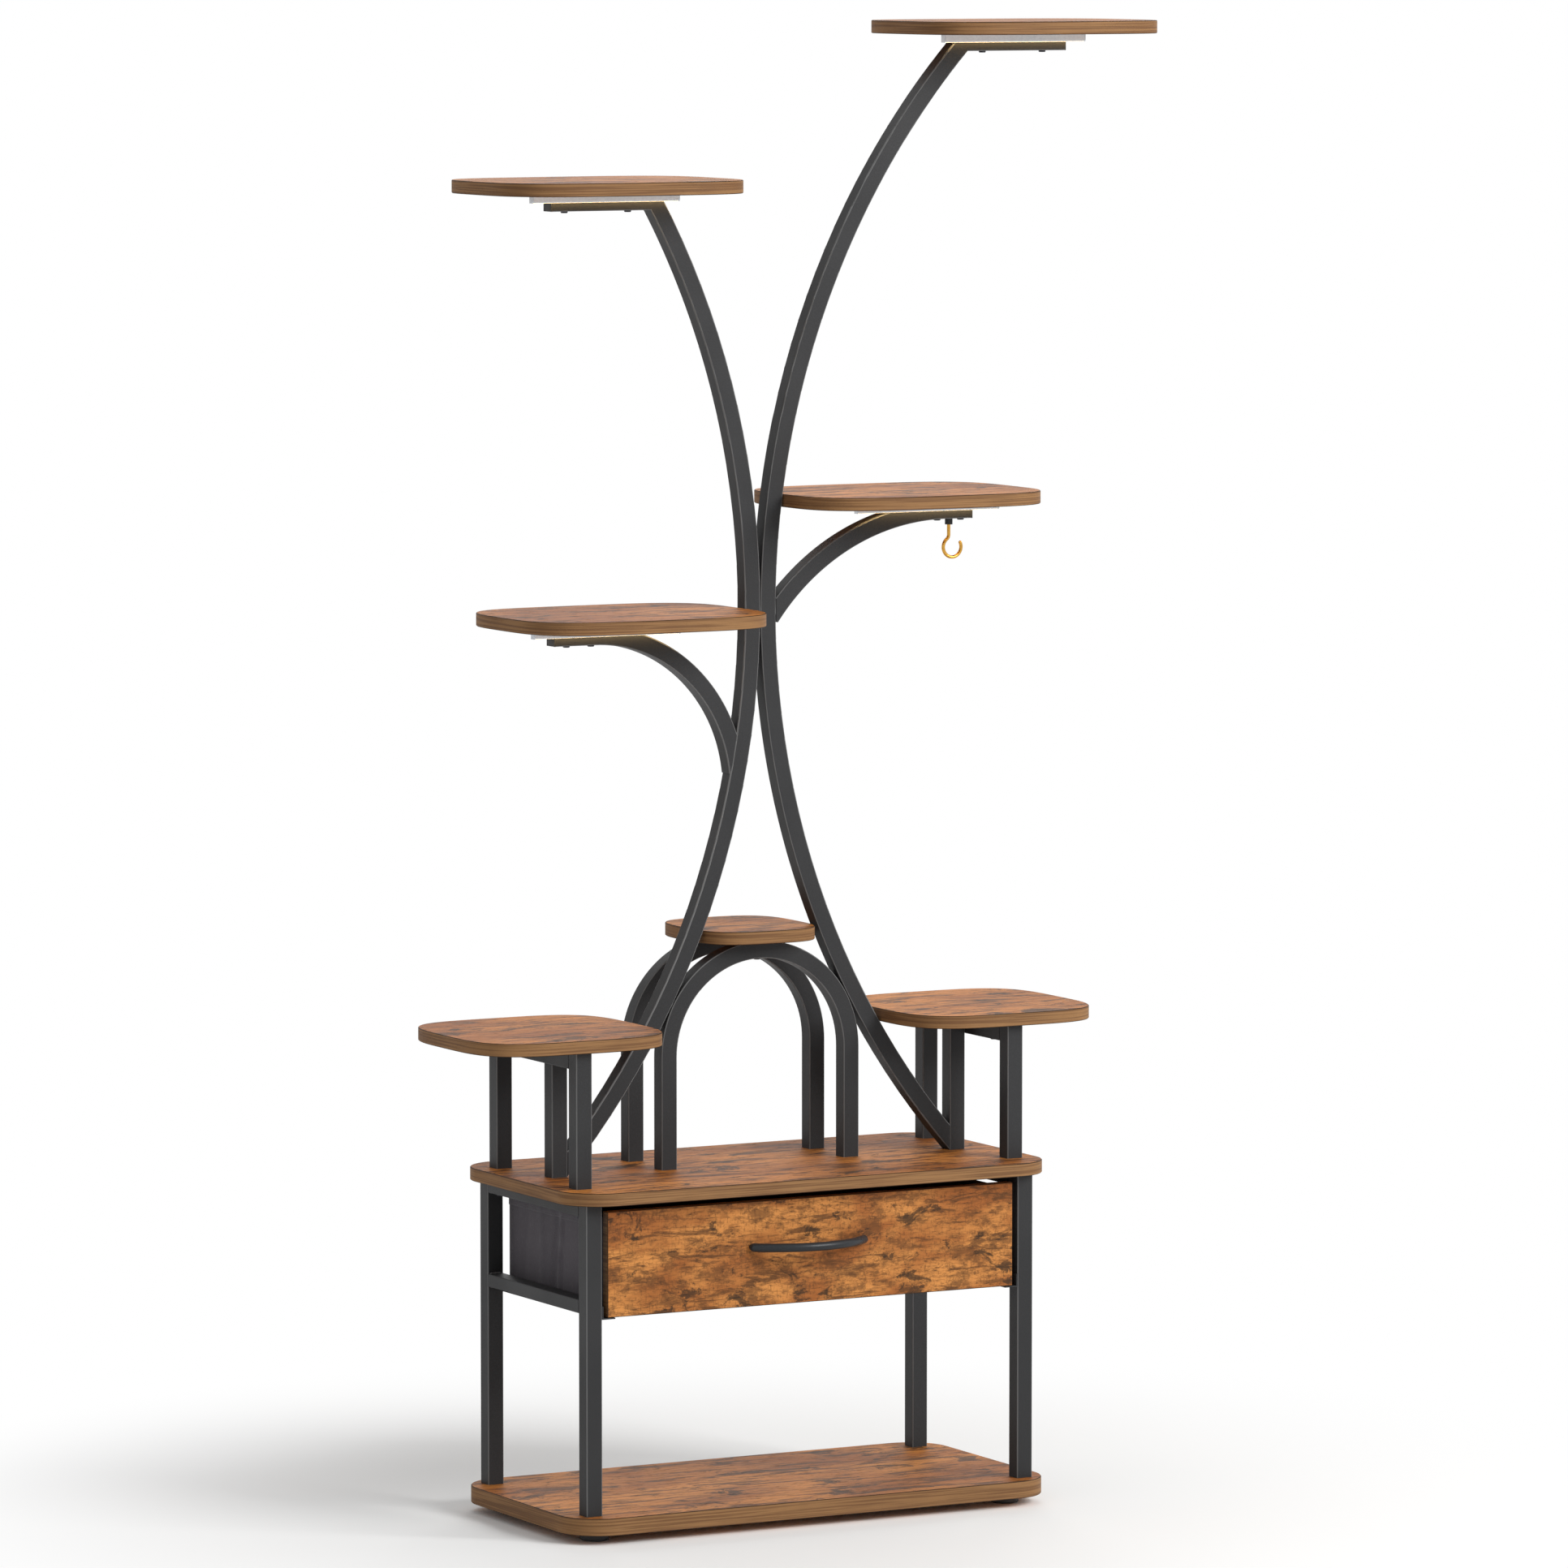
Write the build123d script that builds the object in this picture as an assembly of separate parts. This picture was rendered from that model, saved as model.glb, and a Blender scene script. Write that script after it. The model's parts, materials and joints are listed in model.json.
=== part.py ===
from build123d import *

import os
from dataclasses import dataclass
from math import acos, asin, atan2, cos, degrees, hypot, pi, radians, sin, sqrt

# Plant stand with grow lights, in millimetres.
# +X runs along the long side, +Y to the back, +Z up. Left is -X, seen from the front.
# The sizes and places below are measured from the floor under the middle of the cabinet,
# and the finished stand is moved so that the origin is under the middle of its overall box.

# Square steel tube
TUBE = 20.0
TUBE_WALL = 1.2
TUBE_CORNER = 1.6
RAIL_HEIGHT = 15.0
CROSS_RAIL_SCREW_INSET = 73.7

# Boards
BASE_LENGTH = 620.0
BASE_DEPTH = 310.0
BASE_CORNER = 50.0
BOTTOM_THICKNESS = 20.0
BOARD_THICKNESS = 15.0
BOARD_EDGE = 0.8

# Cabinet
CABINET_HEIGHT = 354.0
POST_SIDE_INSET = 21.0
POST_DEPTH_INSET = 21.0
LOWER_RAIL_RISE = 6.8

# Feet
FOOT_RADIUS = 16.6
FOOT_HEIGHT = 11.0
FOOT_ROUNDING = 3.0
FOOT_SCREW_RECESS = 4.0
FOOT_SHIFT_X = 12.6
FOOT_SHIFT_Y = 15.3

# Drawer
DRAWER_SIDE_GAP = 6.8
DRAWER_TOP_GAP = 9.0
DRAWER_FRONT_HEIGHT = 120.0
DRAWER_FRONT_THICKNESS = 12.0
DRAWER_REAR_GAP = 20.0
DRAWER_BOX_DROP = 8.0
DRAWER_BOX_CORNER = 6.0
FABRIC = 2.0
DRAWER_BASE_THICKNESS = 3.0
BACKING_THICKNESS = 3.0
SLIDE_CLEARANCE = 0.3

# Drawer runners
RUNNER_THICKNESS = 1.5
RUNNER_FLANGE = 16.5
RUNNER_HEIGHT = 15.0
RUNNER_SCREW_INSET = 60.0

# Drawer handle
HANDLE_RADIUS = 5.0
HANDLE_CHORD = 141.3
HANDLE_BOW = 27.0
HANDLE_STUB_RADIUS = 4.0
HANDLE_SHIFT_X = -7.0
HANDLE_SHIFT_Z = 8.0

# Side tables
TABLE_HEIGHT = 570.0
TABLE_DEPTH = 244.0
TABLE_LEG_SETBACK = 24.0
TABLE_SCREW_SETBACK = 40.0
TABLE_CURVE_CLEARANCE = 1.2
TABLE_ROUNDNESS = 3.8

# Trunk of two curves that touch at the waist
WAIST_HEIGHT = 1039.0
JOINT_RISE = 483.0
CURVE_SPARE_ANGLE = 2.0
SLEEVE_LENGTH = 100.0
SLEEVE_WALL = 1.5
SLEEVE_CLEARANCE = 0.1
TIE_WIDTH = 36.0
TIE_HEIGHT = 60.0
TIE_THICKNESS = 3.0
TIE_SCREW_RISE = 20.0

# Arches under the trunk
ARCH_LEG = 128.5
ARCH_CLEARANCE = 0.7
ARCH_SPACING = 82.7
ARCH_TOP_LENGTH = 149.0
ARCH_TOP_DEPTH = 166.0
ARCH_TOP_ROUNDNESS = 3.3

# Upper boards
SHELF_LENGTH = 306.0
SHELF_DEPTH = 244.0
SHELF_ROUNDNESS = 3.76
SHELF_CURVE_CLEARANCE = 1.5

# Heights of the upper boards: the top one above the joint, the others above the waist
TOP_BOARD_RISE = 185.0
UPPER_BOARD_RISE = 492.0
RIGHT_BOARD_RISE = 130.0
LEFT_BOARD_RISE = 1.0

# Arms that end the curves: from the curve's outer face to the board's centre, and on
TOP_BOARD_RUN = 75.07
UPPER_BOARD_RUN = 74.39
ARM_REACH = 63.5

# Branches: radius of the bend, how deep it bites into the curve, length of the level arm
BRANCH_TIP = 5.0
RIGHT_BRANCH_RADIUS = 281.7
RIGHT_BRANCH_BITE = 91.0
RIGHT_ARM_LENGTH = 35.3
LEFT_BRANCH_RADIUS = 182.0
LEFT_BRANCH_BITE = 28.7
LEFT_ARM_LENGTH = 52.8

# Board screws: from the board's centre on the curves' arms, from the free end on the branches
TOP_SCREW_INNER = 42.3
TOP_SCREW_OUTER = 37.1
UPPER_SCREW_INNER = 38.3
UPPER_SCREW_OUTER = 42.2
RIGHT_SCREW_INNER = 41.8
RIGHT_SCREW_OUTER = 10.8
LEFT_SCREW_INNER = 51.2
LEFT_SCREW_OUTER = 20.1

# Middle of each grow light, from its board's centre
TOP_LIGHT_SHIFT = -8.6
UPPER_LIGHT_SHIFT = 2.3
RIGHT_LIGHT_SHIFT = 31.5
LEFT_LIGHT_SHIFT = -26.3

# Arm plugs
PLUG_CAP = 1.5
PLUG_DEPTH = 6.0
PLUG_CLEARANCE = 0.1
INSERT_DEPTH = 12.0

# Grow lights
LIGHT_LENGTH = 187.0
LIGHT_DEPTH = 8.0
LIGHT_HEIGHT = 10.0
LIGHT_WALL = 1.2
LIGHT_END = 1.5
DIFFUSER_WALL = 1.0
DIFFUSER_CORNER = 2.0
LED_BOARD_WIDTH = 5.0
LED_BOARD_THICKNESS = 1.0
LED_BOARD_MARGIN = 12.0
LED_SIZE = 2.8
LED_HEIGHT = 0.8
LED_COUNT = 16
INLET_RADIUS = 2.5
INLET_BORE_RADIUS = 1.75
INLET_BORE_LENGTH = 8.0
INLET_FLOOR = 1.0
LIGHT_SCREW_INSET = 6.0

# Hook
WIRE_RADIUS = 2.0
HOOK_RADIUS = 11.7
HOOK_BEND_RADIUS = 6.0
HOOK_OFFSET = 7.1
HOOK_DROP = 33.3
HOOK_TIP_ANGLE = 25.0
HOOK_HEAD_RADIUS = 3.4
HOOK_HEAD_HEIGHT = 2.0
HOOK_PLAY = 0.3
STEM_RADIUS = 4.5
STEM_LENGTH = 7.0
STEM_NECK_RADIUS = 3.2
STEM_NECK_LENGTH = 5.0
NUT_RADIUS = 5.5
NUT_HEIGHT = 2.5

# Clearance of every hole round its screw and of the hook's wire in its stem,
# size of the cutting blocks, and points on a board's outline
HOLE_CLEARANCE = 0.05
RUNNING_CLEARANCE = 0.06
REACH = 3000.0
SPLINE_POINTS = 48


@dataclass(frozen=True)
class Screw:
    """Socket screw that points up: its head is below Z 0 and its shank rises from there."""

    head_radius: float
    head_height: float
    shank_radius: float
    length: float

    def solid(self):
        """The screw itself, with a hexagonal socket in its head."""
        head = extrude(Pos(Z=-self.head_height) * Circle(self.head_radius), self.head_height)
        rim = head.edges().group_by(Axis.Z)[0]
        head = chamfer(rim, self.head_height * 0.3)
        socket = Pos(Z=-self.head_height) * RegularPolygon(self.head_radius * 0.5, 6)
        shank = extrude(Circle(self.shank_radius), self.length)
        return head + shank - extrude(socket, self.head_height * 0.6)

    def drill(self):
        """The hole that the shank needs."""
        return extrude(Circle(self.shank_radius + HOLE_CLEARANCE), self.length)

    def sink(self):
        """The recess that hides the head, with the hole above it."""
        recess = Pos(Z=-self.head_height) * Circle(self.head_radius + HOLE_CLEARANCE)
        return extrude(recess, self.head_height) + self.drill()


POST_BOLT = Screw(5.5, 3.3, 3.0, BOTTOM_THICKNESS - 3.3 + INSERT_DEPTH)
FOOT_SCREW = Screw(3.8, 2.4, 1.9, FOOT_HEIGHT - FOOT_SCREW_RECESS + 14.0)
FRAME_BOLT = Screw(5.0, 2.6, 3.0, RAIL_HEIGHT + BOARD_THICKNESS + INSERT_DEPTH)
LEG_BOLT = Screw(5.0, 2.6, 3.0, BOARD_THICKNESS + INSERT_DEPTH)
RAIL_SCREW = Screw(3.5, 2.0, 2.0, RAIL_HEIGHT + 10.0)
ARM_SCREW = Screw(4.0, 2.0, 2.0, TUBE + 10.0)
RUNNER_SCREW = Screw(3.0, 1.6, 1.5, RUNNER_THICKNESS + 6.0)
PLATE_SCREW = Screw(3.0, 1.8, 1.5, TIE_THICKNESS + 6.0)
SET_SCREW = Screw(3.0, 1.6, 1.5, 6.0)
FRONT_SCREW = Screw(3.5, 1.8, 1.8, BACKING_THICKNESS + FABRIC + 8.0)
HANDLE_SCREW = Screw(
    3.8, 2.0, 2.0, BACKING_THICKNESS + FABRIC + DRAWER_FRONT_THICKNESS + HANDLE_RADIUS
)
LIGHT_SCREW = Screw(2.2, 0.9, 1.1, LIGHT_WALL + 8.0)


@dataclass(frozen=True)
class Shelf:
    """One upper board with its level arm, screws and grow light, at its real X and Z."""

    place: str
    side: int
    top: float
    centre: float
    screws: tuple
    light: float

    @property
    def underside(self):
        """Height of the board's lower face, which is the arm's upper face."""
        return self.top - BOARD_THICKNESS

    @property
    def arm(self):
        """Height of the arm's centre line."""
        return self.underside - TUBE / 2


@dataclass(frozen=True)
class Branch:
    """Bent tube that leaves a curve and ends in a level arm, drawn on the left side."""

    radius: float
    arm: float
    bite: float
    straight: float

    @property
    def centre_z(self):
        """Height of the bend's centre."""
        return self.arm - self.radius

    @property
    def apart(self):
        """Distance from the curve's centre to the bend's, set by how deep the bend bites."""
        return CURVE_OUTER - TUBE + self.bite - self.radius - TUBE / 2

    @property
    def centre_x(self):
        """X of the bend's centre."""
        return -CURVE_OUTER + sqrt(self.apart**2 - (self.centre_z - WAIST_HEIGHT) ** 2)

    @property
    def start(self):
        """Angle, up from +X, at which the bend starts: just above its thin end on the curve."""
        inner = self.radius - TUBE / 2
        lean = atan2(self.centre_z - WAIST_HEIGHT, self.centre_x + CURVE_OUTER)
        gap = (CURVE_OUTER - TUBE) ** 2 - self.apart**2 - inner**2
        return degrees(lean + acos(gap / (2 * self.apart * inner)) + BRANCH_TIP / self.radius)

    @property
    def end_x(self):
        """X of the arm's free end."""
        return self.centre_x - self.straight


# Heights of the cabinet
BOARD_BASE = FOOT_HEIGHT + BOTTOM_THICKNESS
POST_TOP = BOARD_BASE + CABINET_HEIGHT
MIDDLE_TOP = POST_TOP + BOARD_THICKNESS
TABLE_UNDERSIDE = TABLE_HEIGHT - BOARD_THICKNESS

# Places of the posts, side tables and inner legs
POST_X = BASE_LENGTH / 2 - POST_SIDE_INSET - TUBE / 2
POST_Y = BASE_DEPTH / 2 - POST_DEPTH_INSET - TUBE / 2
INNER_LEG_X = POST_X - TUBE
LEG_FACE_X = INNER_LEG_X - TUBE / 2
FRONT_Y = -POST_Y - TUBE / 2
TABLE_LEG_Y = POST_Y - TABLE_LEG_SETBACK
TABLE_SCREW_Y = TABLE_LEG_Y - TABLE_SCREW_SETBACK

# Each curve starts where its outer face meets the middle board at the inner leg,
# and its outer face touches the mid plane at the waist
WAIST_RISE = WAIST_HEIGHT - MIDDLE_TOP
CURVE_OUTER = (LEG_FACE_X**2 + WAIST_RISE**2) / (2 * LEG_FACE_X)
CURVE_MIDDLE = CURVE_OUTER - TUBE / 2


def curve_x(height, depth=0.0):
    """Distance from the mid plane to a curve, measured this deep into the tube."""
    return CURVE_OUTER - sqrt((CURVE_OUTER - depth) ** 2 - (height - WAIST_HEIGHT) ** 2)


# Drawer and runners
DRAWER_HALF = POST_X - TUBE / 2 - DRAWER_SIDE_GAP
DRAWER_TOP = POST_TOP - DRAWER_TOP_GAP
DRAWER_BOTTOM = DRAWER_TOP - DRAWER_FRONT_HEIGHT
DRAWER_BACK_Y = FRONT_Y + DRAWER_FRONT_THICKNESS
DRAWER_BOX_DEPTH = POST_Y + TUBE / 2 - DRAWER_REAR_GAP - DRAWER_BACK_Y
DRAWER_BOX_TOP = DRAWER_TOP - DRAWER_BOX_DROP
RUNNER_TOP = DRAWER_BOTTOM - SLIDE_CLEARANCE
RUNNER_BOTTOM = RUNNER_TOP - RUNNER_THICKNESS
RUNNER_X = POST_X - TUBE / 2
LOWER_RAIL_Z = RUNNER_BOTTOM + LOWER_RAIL_RISE
RUNNER_SCREW_Z = (LOWER_RAIL_Z + RUNNER_BOTTOM + RUNNER_HEIGHT) / 2
HANDLE_Z = DRAWER_BOTTOM + DRAWER_FRONT_HEIGHT / 2 + HANDLE_SHIFT_Z

# Side table boards reach in as far as the curves let them
TABLE_HALF = POST_X - curve_x(TABLE_UNDERSIDE, TUBE) - TABLE_CURVE_CLEARANCE

# Arches: their legs stand so far apart that the front arch just clears both curves
ARCH_SPRING = MIDDLE_TOP + ARCH_LEG
ARCH_OUTER = hypot(CURVE_OUTER, WAIST_HEIGHT - ARCH_SPRING) - CURVE_OUTER - ARCH_CLEARANCE
ARCH_MIDDLE = ARCH_OUTER - TUBE / 2
ARCH_TOP_UNDERSIDE = ARCH_SPRING + ARCH_OUTER

# Upper boards. The two lower ones sit against the curves, beside the waist
JOINT_HEIGHT = WAIST_HEIGHT + JOINT_RISE
TOP_TOP = JOINT_HEIGHT + TOP_BOARD_RISE
UPPER_TOP = WAIST_HEIGHT + UPPER_BOARD_RISE
RIGHT_TOP = WAIST_HEIGHT + RIGHT_BOARD_RISE
LEFT_TOP = WAIST_HEIGHT + LEFT_BOARD_RISE
TOP_CENTRE = curve_x(TOP_TOP - BOARD_THICKNESS) + TOP_BOARD_RUN
UPPER_CENTRE = -curve_x(UPPER_TOP - BOARD_THICKNESS) - UPPER_BOARD_RUN
RIGHT_CENTRE = curve_x(RIGHT_TOP, TUBE) + SHELF_CURVE_CLEARANCE + SHELF_LENGTH / 2
LEFT_CENTRE = -curve_x(LEFT_TOP, TUBE) - SHELF_CURVE_CLEARANCE - SHELF_LENGTH / 2
RIGHT_BRANCH = Branch(
    RIGHT_BRANCH_RADIUS,
    RIGHT_TOP - BOARD_THICKNESS - TUBE / 2,
    RIGHT_BRANCH_BITE,
    RIGHT_ARM_LENGTH,
)
LEFT_BRANCH = Branch(
    LEFT_BRANCH_RADIUS,
    LEFT_TOP - BOARD_THICKNESS - TUBE / 2,
    LEFT_BRANCH_BITE,
    LEFT_ARM_LENGTH,
)
RIGHT_END = -RIGHT_BRANCH.end_x - RIGHT_CENTRE
LEFT_END = LEFT_BRANCH.end_x - LEFT_CENTRE
SHELVES = {
    "top": Shelf(
        "top_right", 1, TOP_TOP, TOP_CENTRE, (-TOP_SCREW_INNER, TOP_SCREW_OUTER), TOP_LIGHT_SHIFT
    ),
    "upper": Shelf(
        "upper_left",
        -1,
        UPPER_TOP,
        UPPER_CENTRE,
        (-UPPER_SCREW_OUTER, UPPER_SCREW_INNER),
        UPPER_LIGHT_SHIFT,
    ),
    "right": Shelf(
        "middle_right",
        1,
        RIGHT_TOP,
        RIGHT_CENTRE,
        (RIGHT_END - RIGHT_SCREW_INNER, RIGHT_END - RIGHT_SCREW_OUTER),
        RIGHT_LIGHT_SHIFT,
    ),
    "left": Shelf(
        "lower_left",
        -1,
        LEFT_TOP,
        LEFT_CENTRE,
        (LEFT_END + LEFT_SCREW_OUTER, LEFT_END + LEFT_SCREW_INNER),
        LEFT_LIGHT_SHIFT,
    ),
}
HOOK_X = SHELVES["right"].centre + sum(SHELVES["right"].screws) / 2

# Middle of the overall box, from the side table's board on the left to the top board
# on the right, and from the handle to the back edge of the long boards
BOX_MIDDLE_X = (TOP_CENTRE + SHELF_LENGTH / 2 - POST_X - TABLE_HALF) / 2
BOX_MIDDLE_Y = (BASE_DEPTH / 2 + FRONT_Y - HANDLE_BOW - 2 * HANDLE_RADIUS) / 2


def tube_section(width=TUBE, height=TUBE, wall=TUBE_WALL, corner=TUBE_CORNER):
    """Hollow rectangle with rounded outside corners."""
    return RectangleRounded(width, height, corner) - Rectangle(width - 2 * wall, height - 2 * wall)


def upright(x, y, low, high):
    """Vertical square tube."""
    return Pos(x, y, low) * extrude(tube_section(), high - low)


def crosswise(x, low_y, high_y, low_z, height):
    """Level tube along Y, with its underside at low_z."""
    bar = extrude(tube_section(TUBE, height), high_y - low_y)
    return Pos(x, high_y, low_z + height / 2) * Rot(X=90) * bar


def lengthwise(low_x, high_x, y, low_z, height):
    """Level tube along X, with its underside at low_z."""
    bar = extrude(tube_section(height, TUBE), high_x - low_x)
    return Pos(low_x, y, low_z + height / 2) * Rot(Y=90) * bar


def bent(centre_x, centre_z, radius, start, end, section=None):
    """Tube bent round a level axis, between two angles counted up from +X."""
    axis = Axis((centre_x, 0, centre_z), (0, -1, 0))
    profile = Pos(centre_x + radius, 0, centre_z) * (section or tube_section())
    return revolve(profile, axis, revolution_arc=end - start).rotate(axis, start)


def beyond(x, z, angle):
    """Everything past an edge-on plane through x and z, towards an angle counted up from +X."""
    plane = Plane(origin=(x, 0, z), z_dir=(cos(radians(angle)), 0, sin(radians(angle))))
    size = (2 * REACH, 2 * REACH, REACH)
    return plane.location * Box(*size, align=(Align.CENTER, Align.CENTER, Align.MIN))


def mirrored(body):
    """The same body on the other side of the mid plane."""
    return mirror(body, about=Plane.YZ)


def drilled(body, tool, places):
    """Body with one tool cut out at each place."""
    for place in places:
        body = body - place * tool
    return body


def grouped(bodies, label):
    """Separate solids kept together as one sub-part."""
    return Compound(label=label, children=[solid for body in bodies for solid in body.solids()])


def spread(tool, places):
    """Copies of one body, one at each place."""
    return [place * tool for place in places]


def rounded_board(length, depth, roundness, thickness=BOARD_THICKNESS):
    """Board whose outline is a superellipse, with softened edges, on Z 0."""
    points = []
    for step in range(SPLINE_POINTS):
        turn = 2 * pi * step / SPLINE_POINTS
        span = (abs(cos(turn)) ** roundness + abs(sin(turn)) ** roundness) ** (-1 / roundness)
        points.append((length / 2 * span * cos(turn), depth / 2 * span * sin(turn)))
    board = extrude(make_face(Spline(points, periodic=True)), thickness)
    rims = board.edges().group_by(Axis.Z)
    return chamfer(rims[0] + rims[-1], BOARD_EDGE)


def base_board(thickness):
    """Long board with four large round corners and softened edges, on Z 0."""
    board = extrude(RectangleRounded(BASE_LENGTH, BASE_DEPTH, BASE_CORNER), thickness)
    rims = board.edges().group_by(Axis.Z)
    return chamfer(rims[0] + rims[-1], BOARD_EDGE)


def corners(x, y, z):
    """Four places, one in each quarter of the cabinet."""
    return [Pos(side * x, depth * y, z) for side in (-1, 1) for depth in (-1, 1)]


# Where the screws go
POST_BOLTS = corners(POST_X, POST_Y, FOOT_HEIGHT + POST_BOLT.head_height)
FOOT_PLACES = corners(POST_X - FOOT_SHIFT_X, POST_Y - FOOT_SHIFT_Y, 0)
FOOT_SCREWS = [place * Pos(Z=FOOT_SCREW_RECESS) for place in FOOT_PLACES]
FRAME_BOLTS = corners(POST_X, TABLE_LEG_Y, POST_TOP - RAIL_HEIGHT)
INNER_BOLTS = [Pos(side * INNER_LEG_X, 0, POST_TOP) for side in (-1, 1)]
ARCH_BOLTS = [Pos(side * ARCH_MIDDLE, y, POST_TOP) for side in (-1, 1) for y in (0, ARCH_SPACING)]
CROSS_RAIL_SCREW_X = POST_X - TUBE / 2 - CROSS_RAIL_SCREW_INSET
CROSS_RAIL_SCREWS = [
    Pos(side * CROSS_RAIL_SCREW_X, POST_Y, POST_TOP - RAIL_HEIGHT) for side in (-1, 1)
]
TABLE_SCREWS = corners(POST_X, TABLE_SCREW_Y, TABLE_UNDERSIDE - TUBE)
ARCH_SCREWS = [Pos(0, y, ARCH_TOP_UNDERSIDE - TUBE) for y in (0, ARCH_SPACING)]


def arm_screws(shelf):
    """Places of the two screws that hold one upper board on its arm."""
    return [Pos(shelf.centre + x, 0, shelf.underside - TUBE) for x in shelf.screws]


def cabinet():
    """Boards, side frames, rear rail and feet."""
    bottom = Pos(Z=FOOT_HEIGHT) * base_board(BOTTOM_THICKNESS)
    bottom = drilled(bottom, POST_BOLT.sink(), POST_BOLTS)
    bottom = drilled(bottom, FOOT_SCREW.drill(), FOOT_SCREWS)

    middle = Pos(Z=POST_TOP) * base_board(BOARD_THICKNESS)
    middle = drilled(middle, FRAME_BOLT.drill(), FRAME_BOLTS)
    middle = drilled(middle, LEG_BOLT.drill(), INNER_BOLTS + ARCH_BOLTS)
    middle = drilled(middle, RAIL_SCREW.drill(), CROSS_RAIL_SCREWS)

    inner_y = POST_Y - TUBE / 2
    posts = [upright(POST_X, depth * POST_Y, BOARD_BASE, POST_TOP) for depth in (-1, 1)]
    upper = crosswise(POST_X, -inner_y, inner_y, POST_TOP - RAIL_HEIGHT, RAIL_HEIGHT)
    lower = crosswise(POST_X, -inner_y, inner_y, LOWER_RAIL_Z, RAIL_HEIGHT)
    upper = drilled(upper, FRAME_BOLT.drill(), FRAME_BOLTS)
    lower = drilled(lower, RUNNER_SCREW.drill(), runner_screws(1))
    frame = posts + [upper, lower]

    rear = lengthwise(-RUNNER_X, RUNNER_X, POST_Y, POST_TOP - RAIL_HEIGHT, RAIL_HEIGHT)
    rear = drilled(rear, RAIL_SCREW.drill(), CROSS_RAIL_SCREWS)

    outline = Circle(FOOT_RADIUS)
    foot = extrude(outline, FOOT_HEIGHT)
    foot = fillet(foot.edges().group_by(Axis.Z)[0], FOOT_ROUNDING)
    recess = extrude(Circle(FOOT_SCREW.head_radius + HOLE_CLEARANCE), FOOT_SCREW_RECESS)
    foot = foot - recess - Pos(Z=FOOT_SCREW_RECESS) * FOOT_SCREW.drill()

    return {
        "bottom_shelf": [bottom],
        "middle_shelf": [middle],
        "side_frame_right": frame,
        "side_frame_left": [mirrored(bar) for bar in frame],
        "rear_cross_rail": [rear],
        "feet": spread(foot, FOOT_PLACES),
        "foot_screws": spread(FOOT_SCREW.solid(), FOOT_SCREWS),
        "post_bolts": spread(POST_BOLT.solid(), POST_BOLTS),
        "leg_bolts": spread(FRAME_BOLT.solid(), FRAME_BOLTS)
        + spread(LEG_BOLT.solid(), INNER_BOLTS + ARCH_BOLTS),
        "tube_inserts": tube_inserts(),
        "frame_screws": spread(RAIL_SCREW.solid(), CROSS_RAIL_SCREWS)
        + spread(RUNNER_SCREW.solid(), runner_screws(1) + runner_screws(-1)),
    }


def tube_inserts():
    """Threaded plugs in the lower ends of the posts and of every leg on the middle board."""
    size = TUBE - 2 * TUBE_WALL - 2 * PLUG_CLEARANCE
    plug = extrude(Rectangle(size, size), INSERT_DEPTH) - extrude(
        Circle(LEG_BOLT.shank_radius + HOLE_CLEARANCE), INSERT_DEPTH
    )
    feet_of_legs = [Pos(place.position.X, place.position.Y, MIDDLE_TOP) for place in FRAME_BOLTS]
    feet_of_legs += [place * Pos(Z=BOARD_THICKNESS) for place in INNER_BOLTS + ARCH_BOLTS]
    return spread(plug, corners(POST_X, POST_Y, BOARD_BASE) + feet_of_legs)


def runner_screws(side):
    """Places of one runner's screws, which point out into the lower side rail."""
    turn = Rot(Y=90 * side)
    x = side * (RUNNER_X - RUNNER_THICKNESS)
    return [Pos(x, depth * RUNNER_SCREW_INSET, RUNNER_SCREW_Z) * turn for depth in (-1, 1)]


def runners():
    """Two steel angles that the drawer slides on."""
    length = 2 * (POST_Y + TUBE / 2)
    section = Polyline(
        (0, 0),
        (-RUNNER_FLANGE, 0),
        (-RUNNER_FLANGE, RUNNER_THICKNESS),
        (-RUNNER_THICKNESS, RUNNER_THICKNESS),
        (-RUNNER_THICKNESS, RUNNER_HEIGHT),
        (0, RUNNER_HEIGHT),
        close=True,
    )
    angle = extrude(make_face(section), length)
    right = Pos(RUNNER_X, length / 2, RUNNER_BOTTOM) * Rot(X=90) * angle
    right = drilled(right, RUNNER_SCREW.drill(), runner_screws(1))
    return {"drawer_runner_right": [right], "drawer_runner_left": [mirrored(right)]}


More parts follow.
